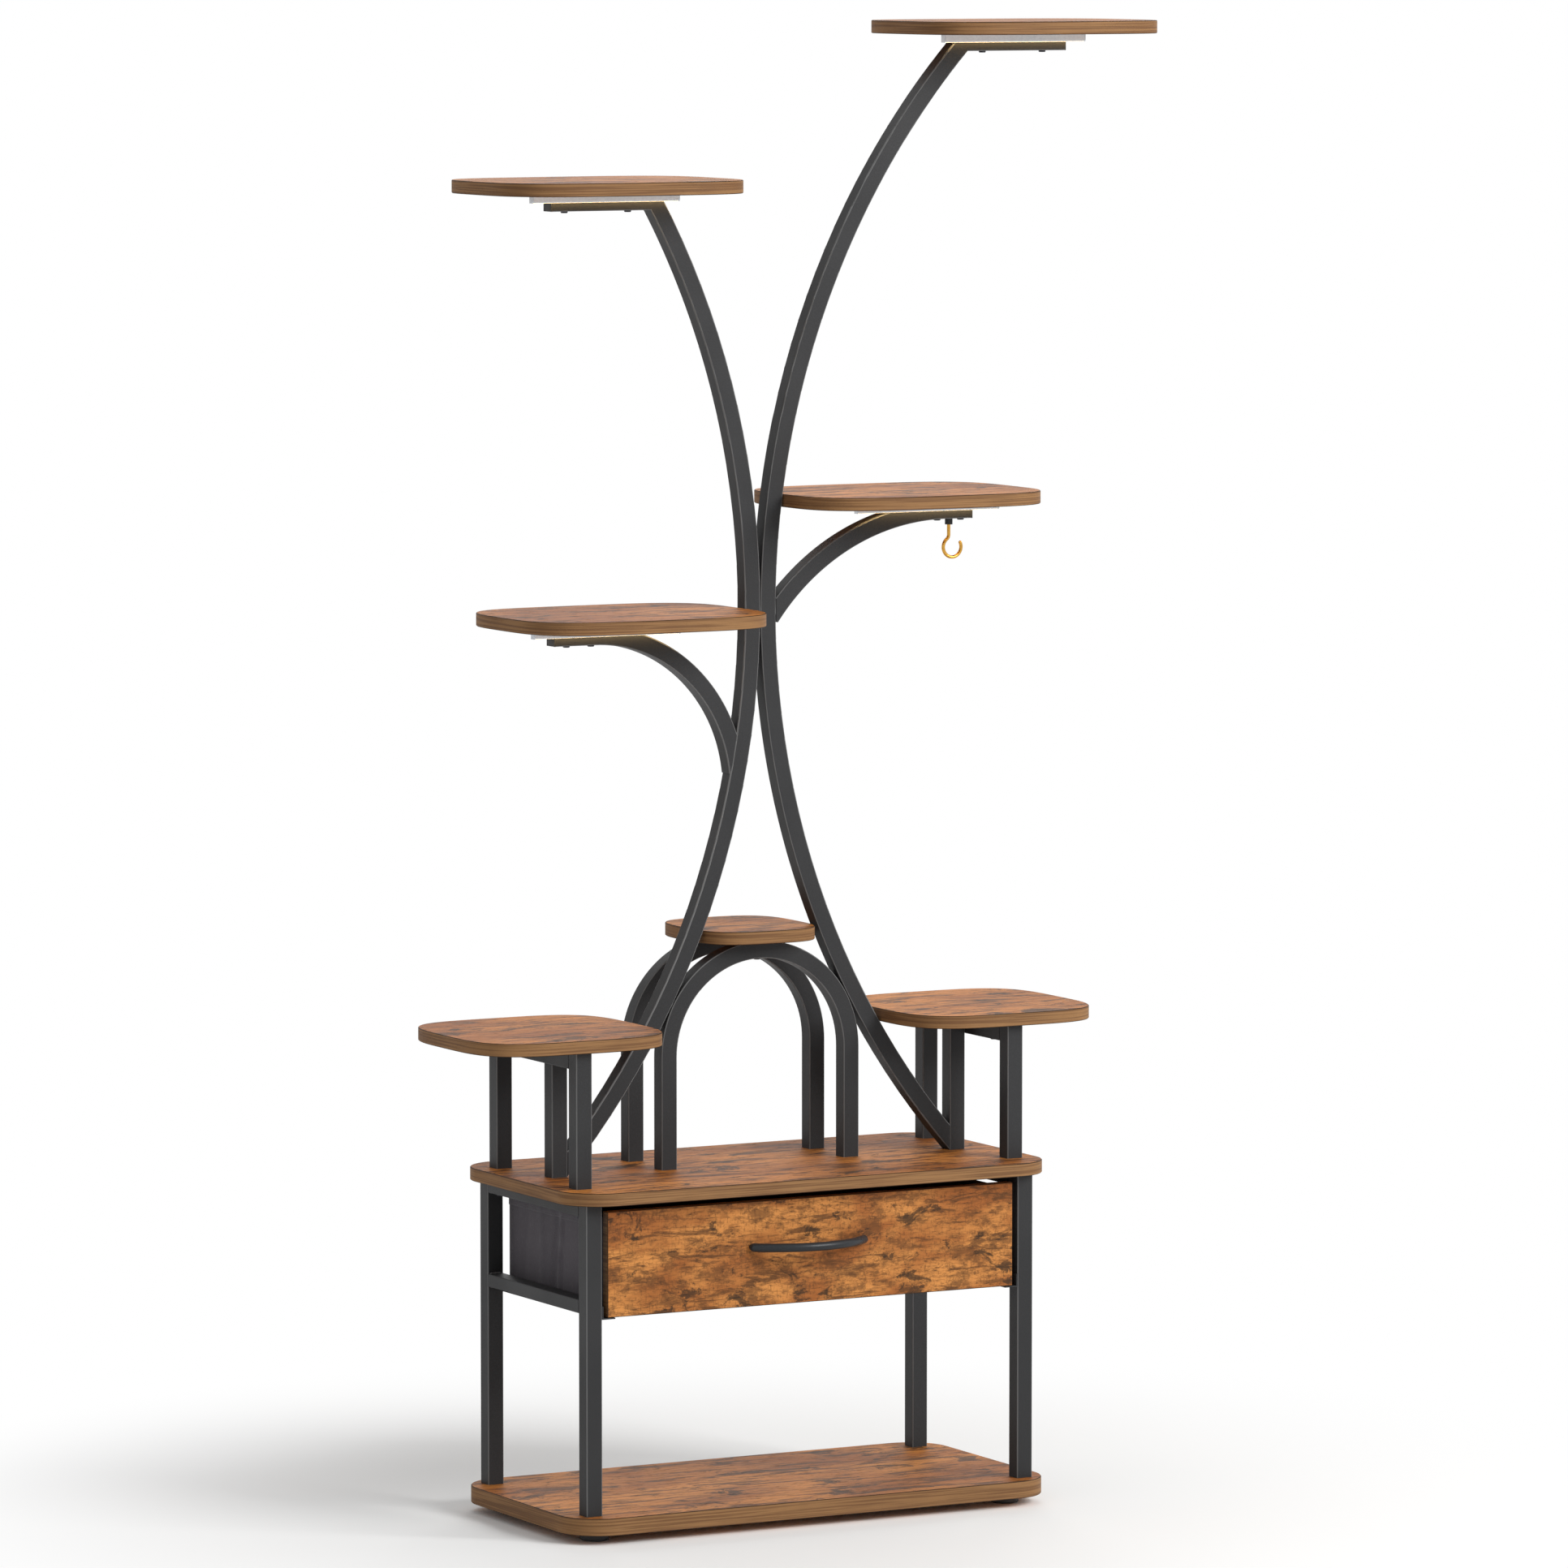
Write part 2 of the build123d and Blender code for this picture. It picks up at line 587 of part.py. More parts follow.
def drawer():
    """Drawer front, fabric box, its boards, the bowed handle and the screws."""
    front = Box(
        2 * DRAWER_HALF,
        DRAWER_FRONT_THICKNESS,
        DRAWER_FRONT_HEIGHT,
        align=(Align.CENTER, Align.MIN, Align.MIN),
    )
    front = chamfer(front.edges(), BOARD_EDGE)
    front = Pos(0, FRONT_Y, DRAWER_BOTTOM) * front

    height = DRAWER_BOX_TOP - DRAWER_BOTTOM
    outline = RectangleRounded(2 * DRAWER_HALF, DRAWER_BOX_DEPTH, DRAWER_BOX_CORNER)
    hollow = RectangleRounded(
        2 * (DRAWER_HALF - FABRIC),
        DRAWER_BOX_DEPTH - 2 * FABRIC,
        DRAWER_BOX_CORNER - FABRIC,
    )
    middle = Pos(0, DRAWER_BACK_Y + DRAWER_BOX_DEPTH / 2, DRAWER_BOTTOM)
    box = extrude(outline, height) - Pos(Z=FABRIC) * extrude(hollow, height)
    box = middle * box

    floor_length = 2 * (DRAWER_HALF - FABRIC - DRAWER_BOX_CORNER)
    floor = Box(
        floor_length,
        DRAWER_BOX_DEPTH - 2 * FABRIC - 2 * SLIDE_CLEARANCE,
        DRAWER_BASE_THICKNESS,
        align=(Align.CENTER, Align.CENTER, Align.MIN),
    )
    floor = middle * Pos(Z=FABRIC) * floor

    backing_low = DRAWER_BOTTOM + FABRIC + DRAWER_BASE_THICKNESS
    backing_height = DRAWER_BOX_TOP - backing_low - FABRIC
    backing = Pos(0, DRAWER_BACK_Y + FABRIC, backing_low) * Box(
        floor_length,
        BACKING_THICKNESS,
        backing_height,
        align=(Align.CENTER, Align.MIN, Align.MIN),
    )

    inside_y = DRAWER_BACK_Y + FABRIC + BACKING_THICKNESS
    forward = Rot(X=90)
    corner_x = floor_length / 2 - 4 * FRONT_SCREW.head_radius
    heights = (backing_low + backing_height * 0.2, backing_low + backing_height * 0.8)
    corner_places = [
        Pos(side * corner_x, inside_y, z) * forward for side in (-1, 1) for z in heights
    ]
    handle_places = [
        Pos(HANDLE_SHIFT_X + side * HANDLE_CHORD / 2, inside_y, HANDLE_Z) * forward
        for side in (-1, 1)
    ]
    pieces = []
    for body in (front, box, backing):
        body = drilled(body, FRONT_SCREW.drill(), corner_places)
        pieces.append(drilled(body, HANDLE_SCREW.drill(), handle_places))
    return {
        "drawer_front": [pieces[0]],
        "drawer_box": [pieces[1]],
        "drawer_base_board": [floor],
        "drawer_front_backing": [pieces[2]],
        "drawer_handle": [drilled(handle(), HANDLE_SCREW.drill(), handle_places)],
        "drawer_screws": spread(FRONT_SCREW.solid(), corner_places)
        + spread(HANDLE_SCREW.solid(), handle_places),
    }


def handle():
    """Round rod bowed out from the drawer front, with a ball and a short stub at each end."""
    half = HANDLE_CHORD / 2
    radius = (half**2 + HANDLE_BOW**2) / (2 * HANDLE_BOW)
    sweep_angle = 2 * degrees(asin(half / radius))
    ends_y = FRONT_Y - HANDLE_RADIUS
    centre_y = ends_y - HANDLE_BOW + radius
    axis = Axis((HANDLE_SHIFT_X, centre_y, HANDLE_Z), (0, 0, 1))
    section = Plane(origin=(HANDLE_SHIFT_X, centre_y - radius, HANDLE_Z), z_dir=(1, 0, 0))
    rod = revolve(section * Circle(HANDLE_RADIUS), axis, revolution_arc=sweep_angle)
    rod = rod.rotate(axis, -sweep_angle / 2)
    for side in (-1, 1):
        end = Pos(HANDLE_SHIFT_X + side * half, ends_y, HANDLE_Z)
        stub = Rot(X=-90) * extrude(Circle(HANDLE_STUB_RADIUS), HANDLE_RADIUS)
        rod = rod + end * Sphere(HANDLE_RADIUS) + end * stub
    return rod


def side_tables():
    """Two U frames on the middle board, each with its rounded board."""
    inner_y = TABLE_LEG_Y - TUBE / 2
    legs = [upright(POST_X, depth * TABLE_LEG_Y, MIDDLE_TOP, TABLE_UNDERSIDE) for depth in (-1, 1)]
    bar = crosswise(POST_X, -inner_y, inner_y, TABLE_UNDERSIDE - TUBE, TUBE)
    frame = legs + [drilled(bar, ARM_SCREW.drill(), TABLE_SCREWS)]
    board = rounded_board(2 * TABLE_HALF, TABLE_DEPTH, TABLE_ROUNDNESS)
    board = Pos(POST_X, 0, TABLE_UNDERSIDE) * board
    board = drilled(board, ARM_SCREW.drill(), TABLE_SCREWS)
    inner = upright(INNER_LEG_X, 0, MIDDLE_TOP, TABLE_UNDERSIDE)
    return {
        "table_frame_right": frame,
        "table_frame_left": [mirrored(bar) for bar in frame],
        "table_top_right": [board],
        "table_top_left": [mirrored(board)],
        "table_screws": spread(ARM_SCREW.solid(), TABLE_SCREWS),
        "inner_leg_right": [inner],
        "inner_leg_left": [mirrored(inner)],
    }


def curve_arc(top):
    """Bent tube of the left curve, from its foot at the inner leg to past a height."""
    inner = CURVE_OUTER - TUBE
    low = -degrees(asin(WAIST_RISE / inner)) - CURVE_SPARE_ANGLE
    high = degrees(asin((top - WAIST_HEIGHT) / inner)) + CURVE_SPARE_ANGLE
    arc = bent(-CURVE_OUTER, WAIST_HEIGHT, CURVE_MIDDLE, low, high)
    past_leg = beyond(-LEG_FACE_X, 0, 180) - beyond(0, WAIST_HEIGHT, 90)
    return arc - past_leg - beyond(0, MIDDLE_TOP, -90)


def curve(shelf):
    """Left curve and the level arm that is welded to it at a mitre and carries a shelf."""
    outer_x = -curve_x(shelf.underside)
    inner_x = -curve_x(shelf.underside - TUBE, TUBE)
    mitre = degrees(atan2(TUBE, outer_x - inner_x)) + 90
    arc = curve_arc(shelf.underside)
    arc = arc - beyond(outer_x, shelf.underside, mitre)
    free_end = -abs(shelf.centre) - ARM_REACH + PLUG_CAP
    arm = lengthwise(free_end, outer_x + TUBE, 0, shelf.underside - TUBE, TUBE)
    arm = arm - beyond(outer_x, shelf.underside, mitre + 180)
    return arc, arm


def branch(bend):
    """Left branch: a bend that starts on the curve's side and ends in a level arm."""
    arc = bent(bend.centre_x, bend.centre_z, bend.radius, bend.start, 90)
    disc = Cylinder(CURVE_OUTER - TUBE, 4 * TUBE, rotation=(90, 0, 0))
    arc = arc & (Pos(-CURVE_OUTER, 0, WAIST_HEIGHT) * disc)
    arm = lengthwise(bend.end_x + PLUG_CAP, bend.centre_x, 0, bend.arm - TUBE / 2, TUBE)
    return arc + arm


def trunk():
    """Both curves, their branches, the joint sleeve, the tie plate and their screws."""
    top, upper = SHELVES["top"], SHELVES["upper"]
    left, left_arm = curve(upper)
    right, right_arm = (mirrored(tube) for tube in curve(top))
    left_arm = drilled(left_arm, ARM_SCREW.drill(), arm_screws(upper))
    right_arm = drilled(right_arm, ARM_SCREW.drill(), arm_screws(top))

    backward = Rot(X=90)
    tie_places = [
        Pos(x, TUBE / 2 + TIE_THICKNESS, WAIST_HEIGHT + z) * backward
        for x in (-TUBE / 2, TUBE / 2)
        for z in (-TIE_SCREW_RISE, TIE_SCREW_RISE)
    ]
    left = drilled(left, PLATE_SCREW.drill(), tie_places)
    right = drilled(right, PLATE_SCREW.drill(), tie_places)
    tie = Pos(0, TUBE / 2, WAIST_HEIGHT) * Box(
        TIE_WIDTH, TIE_THICKNESS, TIE_HEIGHT, align=(Align.CENTER, Align.MIN, Align.CENTER)
    )
    tie = drilled(tie, PLATE_SCREW.drill(), tie_places)

    half = degrees(SLEEVE_LENGTH / 2 / CURVE_MIDDLE)
    joint = degrees(asin((JOINT_HEIGHT - WAIST_HEIGHT) / CURVE_MIDDLE))
    size = TUBE - 2 * TUBE_WALL - 2 * SLEEVE_CLEARANCE
    section = Rectangle(size, size) - Rectangle(size - 2 * SLEEVE_WALL, size - 2 * SLEEVE_WALL)
    sleeve = bent(-CURVE_OUTER, WAIST_HEIGHT, CURVE_MIDDLE, joint - half, joint + half, section)
    sleeve = mirrored(sleeve)
    set_places = []
    for rise in (-SLEEVE_LENGTH / 4, SLEEVE_LENGTH / 4):
        z = JOINT_HEIGHT + rise
        set_places.append(Pos(curve_x(z, TUBE / 2), TUBE / 2, z) * backward)
    right = drilled(right, SET_SCREW.drill(), set_places)
    sleeve = drilled(sleeve, SET_SCREW.drill(), set_places)

    left_bough = drilled(branch(LEFT_BRANCH), ARM_SCREW.sink(), arm_screws(SHELVES["left"]))
    right_bough = mirrored(branch(RIGHT_BRANCH))
    right_bough = drilled(right_bough, ARM_SCREW.sink(), arm_screws(SHELVES["right"]))
    neck_hole = Cylinder(STEM_NECK_RADIUS + HOLE_CLEARANCE, 4 * TUBE_WALL)
    right_bough = right_bough - Pos(HOOK_X, 0, SHELVES["right"].underside - TUBE) * neck_hole
    return {
        "curve_left": [left, left_arm],
        "curve_right_lower": [right - beyond(0, JOINT_HEIGHT, 90)],
        "curve_right_upper": [right - beyond(0, JOINT_HEIGHT, -90), right_arm],
        "joint_sleeve": [sleeve],
        "tie_plate": [tie],
        "trunk_screws": spread(PLATE_SCREW.solid(), tie_places)
        + spread(SET_SCREW.solid(), set_places),
        "branch_left": [left_bough],
        "branch_right": [right_bough],
        "arm_end_plugs": arm_plugs(),
    }


def arm_plugs():
    """Square plugs that close the free ends of the four arms."""
    size = TUBE - 2 * TUBE_WALL - 2 * PLUG_CLEARANCE
    cap = Box(PLUG_CAP, TUBE, TUBE, align=(Align.MAX, Align.CENTER, Align.CENTER))
    cap = chamfer(cap.edges().group_by(Axis.X)[-1], PLUG_CAP / 3)
    plug = cap + Pos(X=-PLUG_CAP) * Box(
        PLUG_DEPTH, size, size, align=(Align.MAX, Align.CENTER, Align.CENTER)
    )
    ends = {
        "top": SHELVES["top"].centre + ARM_REACH,
        "upper": SHELVES["upper"].centre - ARM_REACH,
        "right": -RIGHT_BRANCH.end_x,
        "left": LEFT_BRANCH.end_x,
    }
    plugs = []
    for name, x in ends.items():
        shelf = SHELVES[name]
        turned = plug if shelf.side > 0 else mirrored(plug)
        plugs.append(Pos(x, 0, shelf.arm) * turned)
    return plugs


def arches():
    """Two bent arches one behind the other, and the small board on their crowns."""
    arch = bent(0, ARCH_SPRING, ARCH_MIDDLE, 0, 180)
    for side in (-1, 1):
        arch = arch + upright(side * ARCH_MIDDLE, 0, MIDDLE_TOP, ARCH_SPRING)
    front = drilled(arch, ARM_SCREW.sink(), ARCH_SCREWS)
    rear = drilled(Pos(Y=ARCH_SPACING) * arch, ARM_SCREW.sink(), ARCH_SCREWS)
    board = rounded_board(ARCH_TOP_LENGTH, ARCH_TOP_DEPTH, ARCH_TOP_ROUNDNESS)
    board = Pos(0, ARCH_SPACING / 2, ARCH_TOP_UNDERSIDE) * board
    return {
        "arch_front": [front],
        "arch_rear": [rear],
        "arch_top": [drilled(board, ARM_SCREW.drill(), ARCH_SCREWS)],
        "arch_screws": spread(ARM_SCREW.solid(), ARCH_SCREWS),
    }


def upper_shelves():
    """Four rounded boards and the screws that hold them on their arms."""
    plain = rounded_board(SHELF_LENGTH, SHELF_DEPTH, SHELF_ROUNDNESS)
    nodes = {}
    screws = []
    for shelf in SHELVES.values():
        board = Pos(shelf.centre, 0, shelf.underside) * plain
        board = drilled(board, ARM_SCREW.drill(), arm_screws(shelf))
        nodes[f"shelf_{shelf.place}"] = [drilled(board, LIGHT_SCREW.drill(), light_screws(shelf))]
        screws += spread(ARM_SCREW.solid(), arm_screws(shelf))
    nodes["shelf_screws"] = screws
    return nodes


def light_corner(shelf):
    """Upper rear corner of one grow light's left end, under the board against the arm."""
    return Pos(shelf.centre + shelf.light - LIGHT_LENGTH / 2, -TUBE / 2, shelf.underside)


def light_screws(shelf):
    """Places of the two screws inside one grow light."""
    y = -LIGHT_WALL - (LIGHT_DEPTH - LIGHT_WALL) / 2
    ends = (LIGHT_SCREW_INSET, LIGHT_LENGTH - LIGHT_SCREW_INSET)
    return [light_corner(shelf) * Pos(x, y, -LIGHT_WALL) for x in ends]


def light_parts():
    """Pieces of one grow light, with its upper rear left corner at the origin."""
    corner = (Align.MIN, Align.MAX, Align.MAX)
    block = Box(LIGHT_LENGTH, LIGHT_DEPTH, LIGHT_HEIGHT, align=corner)
    inside = LIGHT_LENGTH - 2 * LIGHT_END
    low_front = block.edges().filter_by(Axis.X).group_by(Axis.Z)[0].sort_by(Axis.Y)[0]
    block = fillet(low_front, DIFFUSER_CORNER)

    cavity = Pos(LIGHT_END, -LIGHT_WALL, -LIGHT_WALL) * Box(
        inside, LIGHT_DEPTH, LIGHT_HEIGHT, align=corner
    )
    cover_zone = block & cavity
    chamber = Pos(0, -LIGHT_WALL, -LIGHT_WALL) * Box(
        LIGHT_LENGTH + inside,
        LIGHT_DEPTH - LIGHT_WALL - DIFFUSER_WALL,
        LIGHT_HEIGHT - LIGHT_WALL - DIFFUSER_WALL,
        align=corner,
    )
    low_front = chamber.edges().filter_by(Axis.X).group_by(Axis.Z)[0].sort_by(Axis.Y)[0]
    chamber = fillet(low_front, DIFFUSER_CORNER - DIFFUSER_WALL)
    diffuser = cover_zone - chamber

    centre_y = -LIGHT_WALL - (LIGHT_DEPTH - LIGHT_WALL - DIFFUSER_WALL) / 2
    mouth = Pos(LIGHT_LENGTH, centre_y, -LIGHT_HEIGHT / 2 - LIGHT_WALL / 2) * Rot(Y=-90)
    inlet_length = INLET_BORE_LENGTH + INLET_FLOOR
    inlet = extrude(Circle(INLET_RADIUS), inlet_length)
    inlet = mouth * (inlet - extrude(Circle(INLET_BORE_RADIUS), INLET_BORE_LENGTH))
    seat = mouth * extrude(Circle(INLET_RADIUS + HOLE_CLEARANCE), LIGHT_END)
    housing = block - cavity - seat

    strip_length = LIGHT_LENGTH - 2 * LED_BOARD_MARGIN
    strip = Pos(LED_BOARD_MARGIN, centre_y, -LIGHT_WALL) * Box(
        strip_length,
        LED_BOARD_WIDTH,
        LED_BOARD_THICKNESS,
        align=(Align.MIN, Align.CENTER, Align.MAX),
    )
    pitch = strip_length / LED_COUNT
    for index in range(LED_COUNT):
        x = LED_BOARD_MARGIN + pitch * (index + 0.5)
        strip = strip + Pos(x, centre_y, -LIGHT_WALL - LED_BOARD_THICKNESS) * Box(
            LED_SIZE, LED_SIZE, LED_HEIGHT, align=(Align.CENTER, Align.CENTER, Align.MAX)
        )
    return housing, diffuser, strip, inlet


def grow_lights():
    """One grow light under each upper board."""
    housing, diffuser, strip, inlet = light_parts()
    nodes = {"led_boards": [], "light_inlets": [], "light_screws": []}
    for shelf in SHELVES.values():
        corner = light_corner(shelf)
        local = [corner.inverse() * place for place in light_screws(shelf)]
        body = drilled(housing, LIGHT_SCREW.drill(), local)
        nodes[f"light_housing_{shelf.place}"] = [corner * body]
        nodes[f"light_cover_{shelf.place}"] = [corner * diffuser]
        nodes["led_boards"].append(corner * strip)
        nodes["light_inlets"].append(corner * inlet)
        nodes["light_screws"] += spread(LIGHT_SCREW.solid(), light_screws(shelf))
    return nodes


def hook():
    """Wire hook that turns in a stem under the middle right arm, and the stem's nut."""
    arm_low = SHELVES["right"].underside - TUBE
    stem_low = arm_low - STEM_LENGTH
    neck_top = arm_low + STEM_NECK_LENGTH
    bore = WIRE_RADIUS + RUNNING_CLEARANCE
    stem = Pos(HOOK_X, 0, stem_low) * extrude(Circle(STEM_RADIUS), STEM_LENGTH)
    stem = stem + Pos(HOOK_X, 0, arm_low) * extrude(Circle(STEM_NECK_RADIUS), STEM_NECK_LENGTH)
    stem = stem - Pos(HOOK_X, 0, stem_low) * extrude(Circle(bore), STEM_LENGTH + STEM_NECK_LENGTH)
    nut = extrude(RegularPolygon(NUT_RADIUS, 6), NUT_HEIGHT)
    nut = nut - extrude(Circle(STEM_NECK_RADIUS + HOLE_CLEARANCE), NUT_HEIGHT)
    nut = Pos(HOOK_X, 0, arm_low + TUBE_WALL) * nut

    head_z = neck_top + HOOK_PLAY
    swing = degrees(acos(1 - HOOK_OFFSET / (HOOK_RADIUS + HOOK_BEND_RADIUS)))
    centre_x = HOOK_X - HOOK_OFFSET + HOOK_RADIUS
    centre_z = arm_low - HOOK_DROP
    bend_x = HOOK_X - HOOK_BEND_RADIUS
    bend_z = centre_z + (HOOK_RADIUS + HOOK_BEND_RADIUS) * sin(radians(swing))
    shank = Line((HOOK_X, 0, head_z), (HOOK_X, 0, bend_z))
    upper = arc_between(bend_x, bend_z, HOOK_BEND_RADIUS, 0, -swing)
    loop = arc_between(centre_x, centre_z, HOOK_RADIUS, 180 - swing, 360 + HOOK_TIP_ANGLE)
    section = Plane(origin=(HOOK_X, 0, head_z), z_dir=(0, 0, -1)) * Circle(WIRE_RADIUS)
    wire = sweep(section, path=Wire([shank] + upper + loop))
    tip_x = centre_x + HOOK_RADIUS * cos(radians(HOOK_TIP_ANGLE))
    tip_z = centre_z + HOOK_RADIUS * sin(radians(HOOK_TIP_ANGLE))
    wire = wire + Pos(tip_x, 0, tip_z) * Sphere(WIRE_RADIUS)
    head = Pos(HOOK_X, 0, head_z) * extrude(Circle(HOOK_HEAD_RADIUS), HOOK_HEAD_HEIGHT)
    return {"hook": [wire + head], "hook_stem": [stem], "hook_nut": [nut]}


def arc_between(centre_x, centre_z, radius, start, end):
    """Arcs of at most half a turn in the XZ plane, between two angles counted up from +X."""
    steps = 1 if abs(end - start) < 170 else 2
    arcs = []
    for index in range(steps):
        angles = [start + (end - start) * (index + part) / steps for part in (0, 0.5, 1)]
        points = [
            (centre_x + radius * cos(radians(a)), 0, centre_z + radius * sin(radians(a)))
            for a in angles
        ]
        arcs.append(ThreePointArc(*points))
    return arcs


def main():
    """Build every sub-part, move it to the origin and write one STEP file for each."""
    os.makedirs("parts", exist_ok=True)
    to_origin = Pos(-BOX_MIDDLE_X, -BOX_MIDDLE_Y)
    makers = (
        cabinet, runners, drawer, side_tables, trunk, arches, upper_shelves, grow_lights, hook
    )
    for maker in makers:
        for name, bodies in maker().items():
            placed = [to_origin * body for body in bodies]
            export_step(grouped(placed, name), f"parts/{name}.step")


main()
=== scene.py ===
import json
import logging
import math
from dataclasses import dataclass
from enum import Enum

import bpy
import numpy as np
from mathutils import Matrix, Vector


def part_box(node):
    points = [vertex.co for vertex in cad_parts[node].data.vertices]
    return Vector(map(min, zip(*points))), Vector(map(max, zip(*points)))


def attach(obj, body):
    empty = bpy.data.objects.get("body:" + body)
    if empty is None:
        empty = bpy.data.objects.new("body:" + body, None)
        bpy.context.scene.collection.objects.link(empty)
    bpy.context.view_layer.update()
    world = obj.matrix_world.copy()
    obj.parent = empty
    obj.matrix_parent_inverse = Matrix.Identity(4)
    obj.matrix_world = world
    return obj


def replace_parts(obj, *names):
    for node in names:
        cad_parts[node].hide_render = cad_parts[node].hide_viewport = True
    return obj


# Looks of a plant stand with grow lights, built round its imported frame.
# Everything is in metres, in the frame's own axes: +X to the right, +Y to the back, +Z up.

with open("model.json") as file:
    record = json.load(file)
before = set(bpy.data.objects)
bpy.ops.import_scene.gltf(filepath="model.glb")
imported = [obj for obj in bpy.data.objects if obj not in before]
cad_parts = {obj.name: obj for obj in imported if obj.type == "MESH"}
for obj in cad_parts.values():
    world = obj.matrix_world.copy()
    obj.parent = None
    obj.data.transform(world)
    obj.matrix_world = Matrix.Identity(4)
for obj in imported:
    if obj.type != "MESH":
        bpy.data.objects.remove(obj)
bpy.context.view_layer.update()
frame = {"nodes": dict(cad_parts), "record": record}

MM = 0.001
log = logging.getLogger("plant_stand")


class Slot(Enum):
    """The record's material slots."""

    RUSTIC_BOARD = "rustic_board"
    DRAWER_BOARD = "drawer_board"
    POWDER_COAT = "powder_coat"
    FOOT_RUBBER = "foot_rubber"
    SCREW_STEEL = "screw_steel"
    INSERT_PLASTIC = "insert_plastic"
    SLEEVE_STEEL = "sleeve_steel"
    BLACK_PLASTIC = "black_plastic"
    DRAWER_FABRIC = "drawer_fabric"
    HARDBOARD = "hardboard"
    HANDLE_STEEL = "handle_steel"
    LIGHT_ALUMINIUM = "light_aluminium"
    FROSTED_COVER = "frosted_cover"
    LED_BOARD = "led_board"
    INLET_PLASTIC = "inlet_plastic"
    BRASS_WIRE = "brass_wire"


class Facing(Enum):
    """Axis that a board's printed faces point along."""

    UP = "Z"
    FORWARD = "Y"


class Body(Enum):
    """Moving parts of the frame."""

    STAND = "stand"
    DRAWER = "drawer"


def linear(code: str) -> tuple[float, float, float, float]:
    """Turns a colour into the light values that shaders use.

    Each channel follows the sRGB curve: divided by 12.92 near black, and above that
    ((c + 0.055) / 1.055) to the power 2.4.

    Args:
        code: The colour as an sRGB hex value such as "#8A5A32".

    Returns:
        Linear red, green, blue and an alpha of 1.
    """
    channels = np.array([int(code[i : i + 2], 16) for i in (1, 3, 5)]) / 255
    bright = ((channels + 0.055) / 1.055) ** 2.4
    red, green, blue = np.where(channels <= 0.04045, channels / 12.92, bright).tolist()
    return (red, green, blue, 1.0)


class Paint:
    """Node tree of one material, ending in one surface shader."""

    def __init__(self, name: str, **values: float) -> None:
        """Starts a material.

        Args:
            name: Name of the material.
            values: Values that are the same all over the surface, by socket name with
                underscores for spaces.
        """
        self.material = bpy.data.materials.new(name)
        self.material.use_nodes = True
        self.tree = self.material.node_tree
        self.tree.nodes.clear()
        inputs = {key.replace("_", " "): value for key, value in values.items()}
        self.shader = self.add("ShaderNodeBsdfPrincipled", inputs).node
        self.add("ShaderNodeOutputMaterial", {"Surface": self.shader.outputs[0]}, output=None)

    def add(
        self, kind: str, inputs: dict | None = None, output: int | str | None = 0, **settings: str
    ) -> bpy.types.NodeSocket | None:
        """Adds one node with its settings and links.

        Args:
            kind: The node's type.
            inputs: Input name or number to a value or to the socket that feeds it.
            output: Name or number of the output to return, or None for a node without one.
            settings: The node's own properties.

        Returns:
            The chosen output socket.
        """
        node = self.tree.nodes.new(kind)
        for key, value in settings.items():
            setattr(node, key, value)
        for key, value in (inputs or {}).items():
            if isinstance(value, bpy.types.NodeSocket):
                self.tree.links.new(value, node.inputs[key])
            else:
                node.inputs[key].default_value = value
        return None if output is None else node.outputs[output]

    def feed(self, **sources: bpy.types.NodeSocket) -> bpy.types.Material:
        """Links sockets to the surface shader.

        Args:
            sources: Source sockets by shader input name, with underscores for spaces.

        Returns:
            The finished material.
        """
        for key, source in sources.items():
            self.tree.links.new(source, self.shader.inputs[key.replace("_", " ")])
        return self.material

    def speckle(
        self, spacing: tuple[float, float, float], low: float, high: float, **noise: float
    ) -> bpy.types.NodeSocket:
        """Mask of soft random patches: noise over the object's own coordinates, then a smooth step.

        Args:
            spacing: Size of a patch along X, Y and Z in millimetres.
            low: Noise value at which the mask starts to rise from 0.
            high: Noise value at which it reaches 1.
            noise: More inputs of the noise, by name.

        Returns:
            The mask, from 0 to 1.
        """
        where = self.add("ShaderNodeTexCoord", output="Object")
        scale = tuple(1 / (size * MM) for size in spacing)
        where = self.add("ShaderNodeMapping", {"Vector": where, "Scale": scale})
        value = self.add("ShaderNodeTexNoise", {"Vector": where, "Scale": 1.0, **noise})
        limits = {"Value": value, "From Min": low, "From Max": high}
        return self.add("ShaderNodeMapRange", limits, interpolation_type="SMOOTHSTEP")

    def blend(
        self, mask: bpy.types.NodeSocket, share: float, under: object, over: object
    ) -> bpy.types.NodeSocket:
        """Lays one colour over another where a mask says, by share times mask."""
        factor = self.add("ShaderNodeMath", {0: mask, 1: share}, operation="MULTIPLY")
        inputs = {0: factor, 6: under, 7: over}
        return self.add("ShaderNodeMix", inputs, output=2, data_type="RGBA")

    def raised(self, height: bpy.types.NodeSocket, depth: float) -> bpy.types.NodeSocket:
        """Surface normal bumped by a height from 0 to 1 that stands for this depth in millimetres."""
        inputs = {"Height": height, "Distance": depth * MM, "Strength": 1.0}
        return self.add("ShaderNodeBump", inputs)


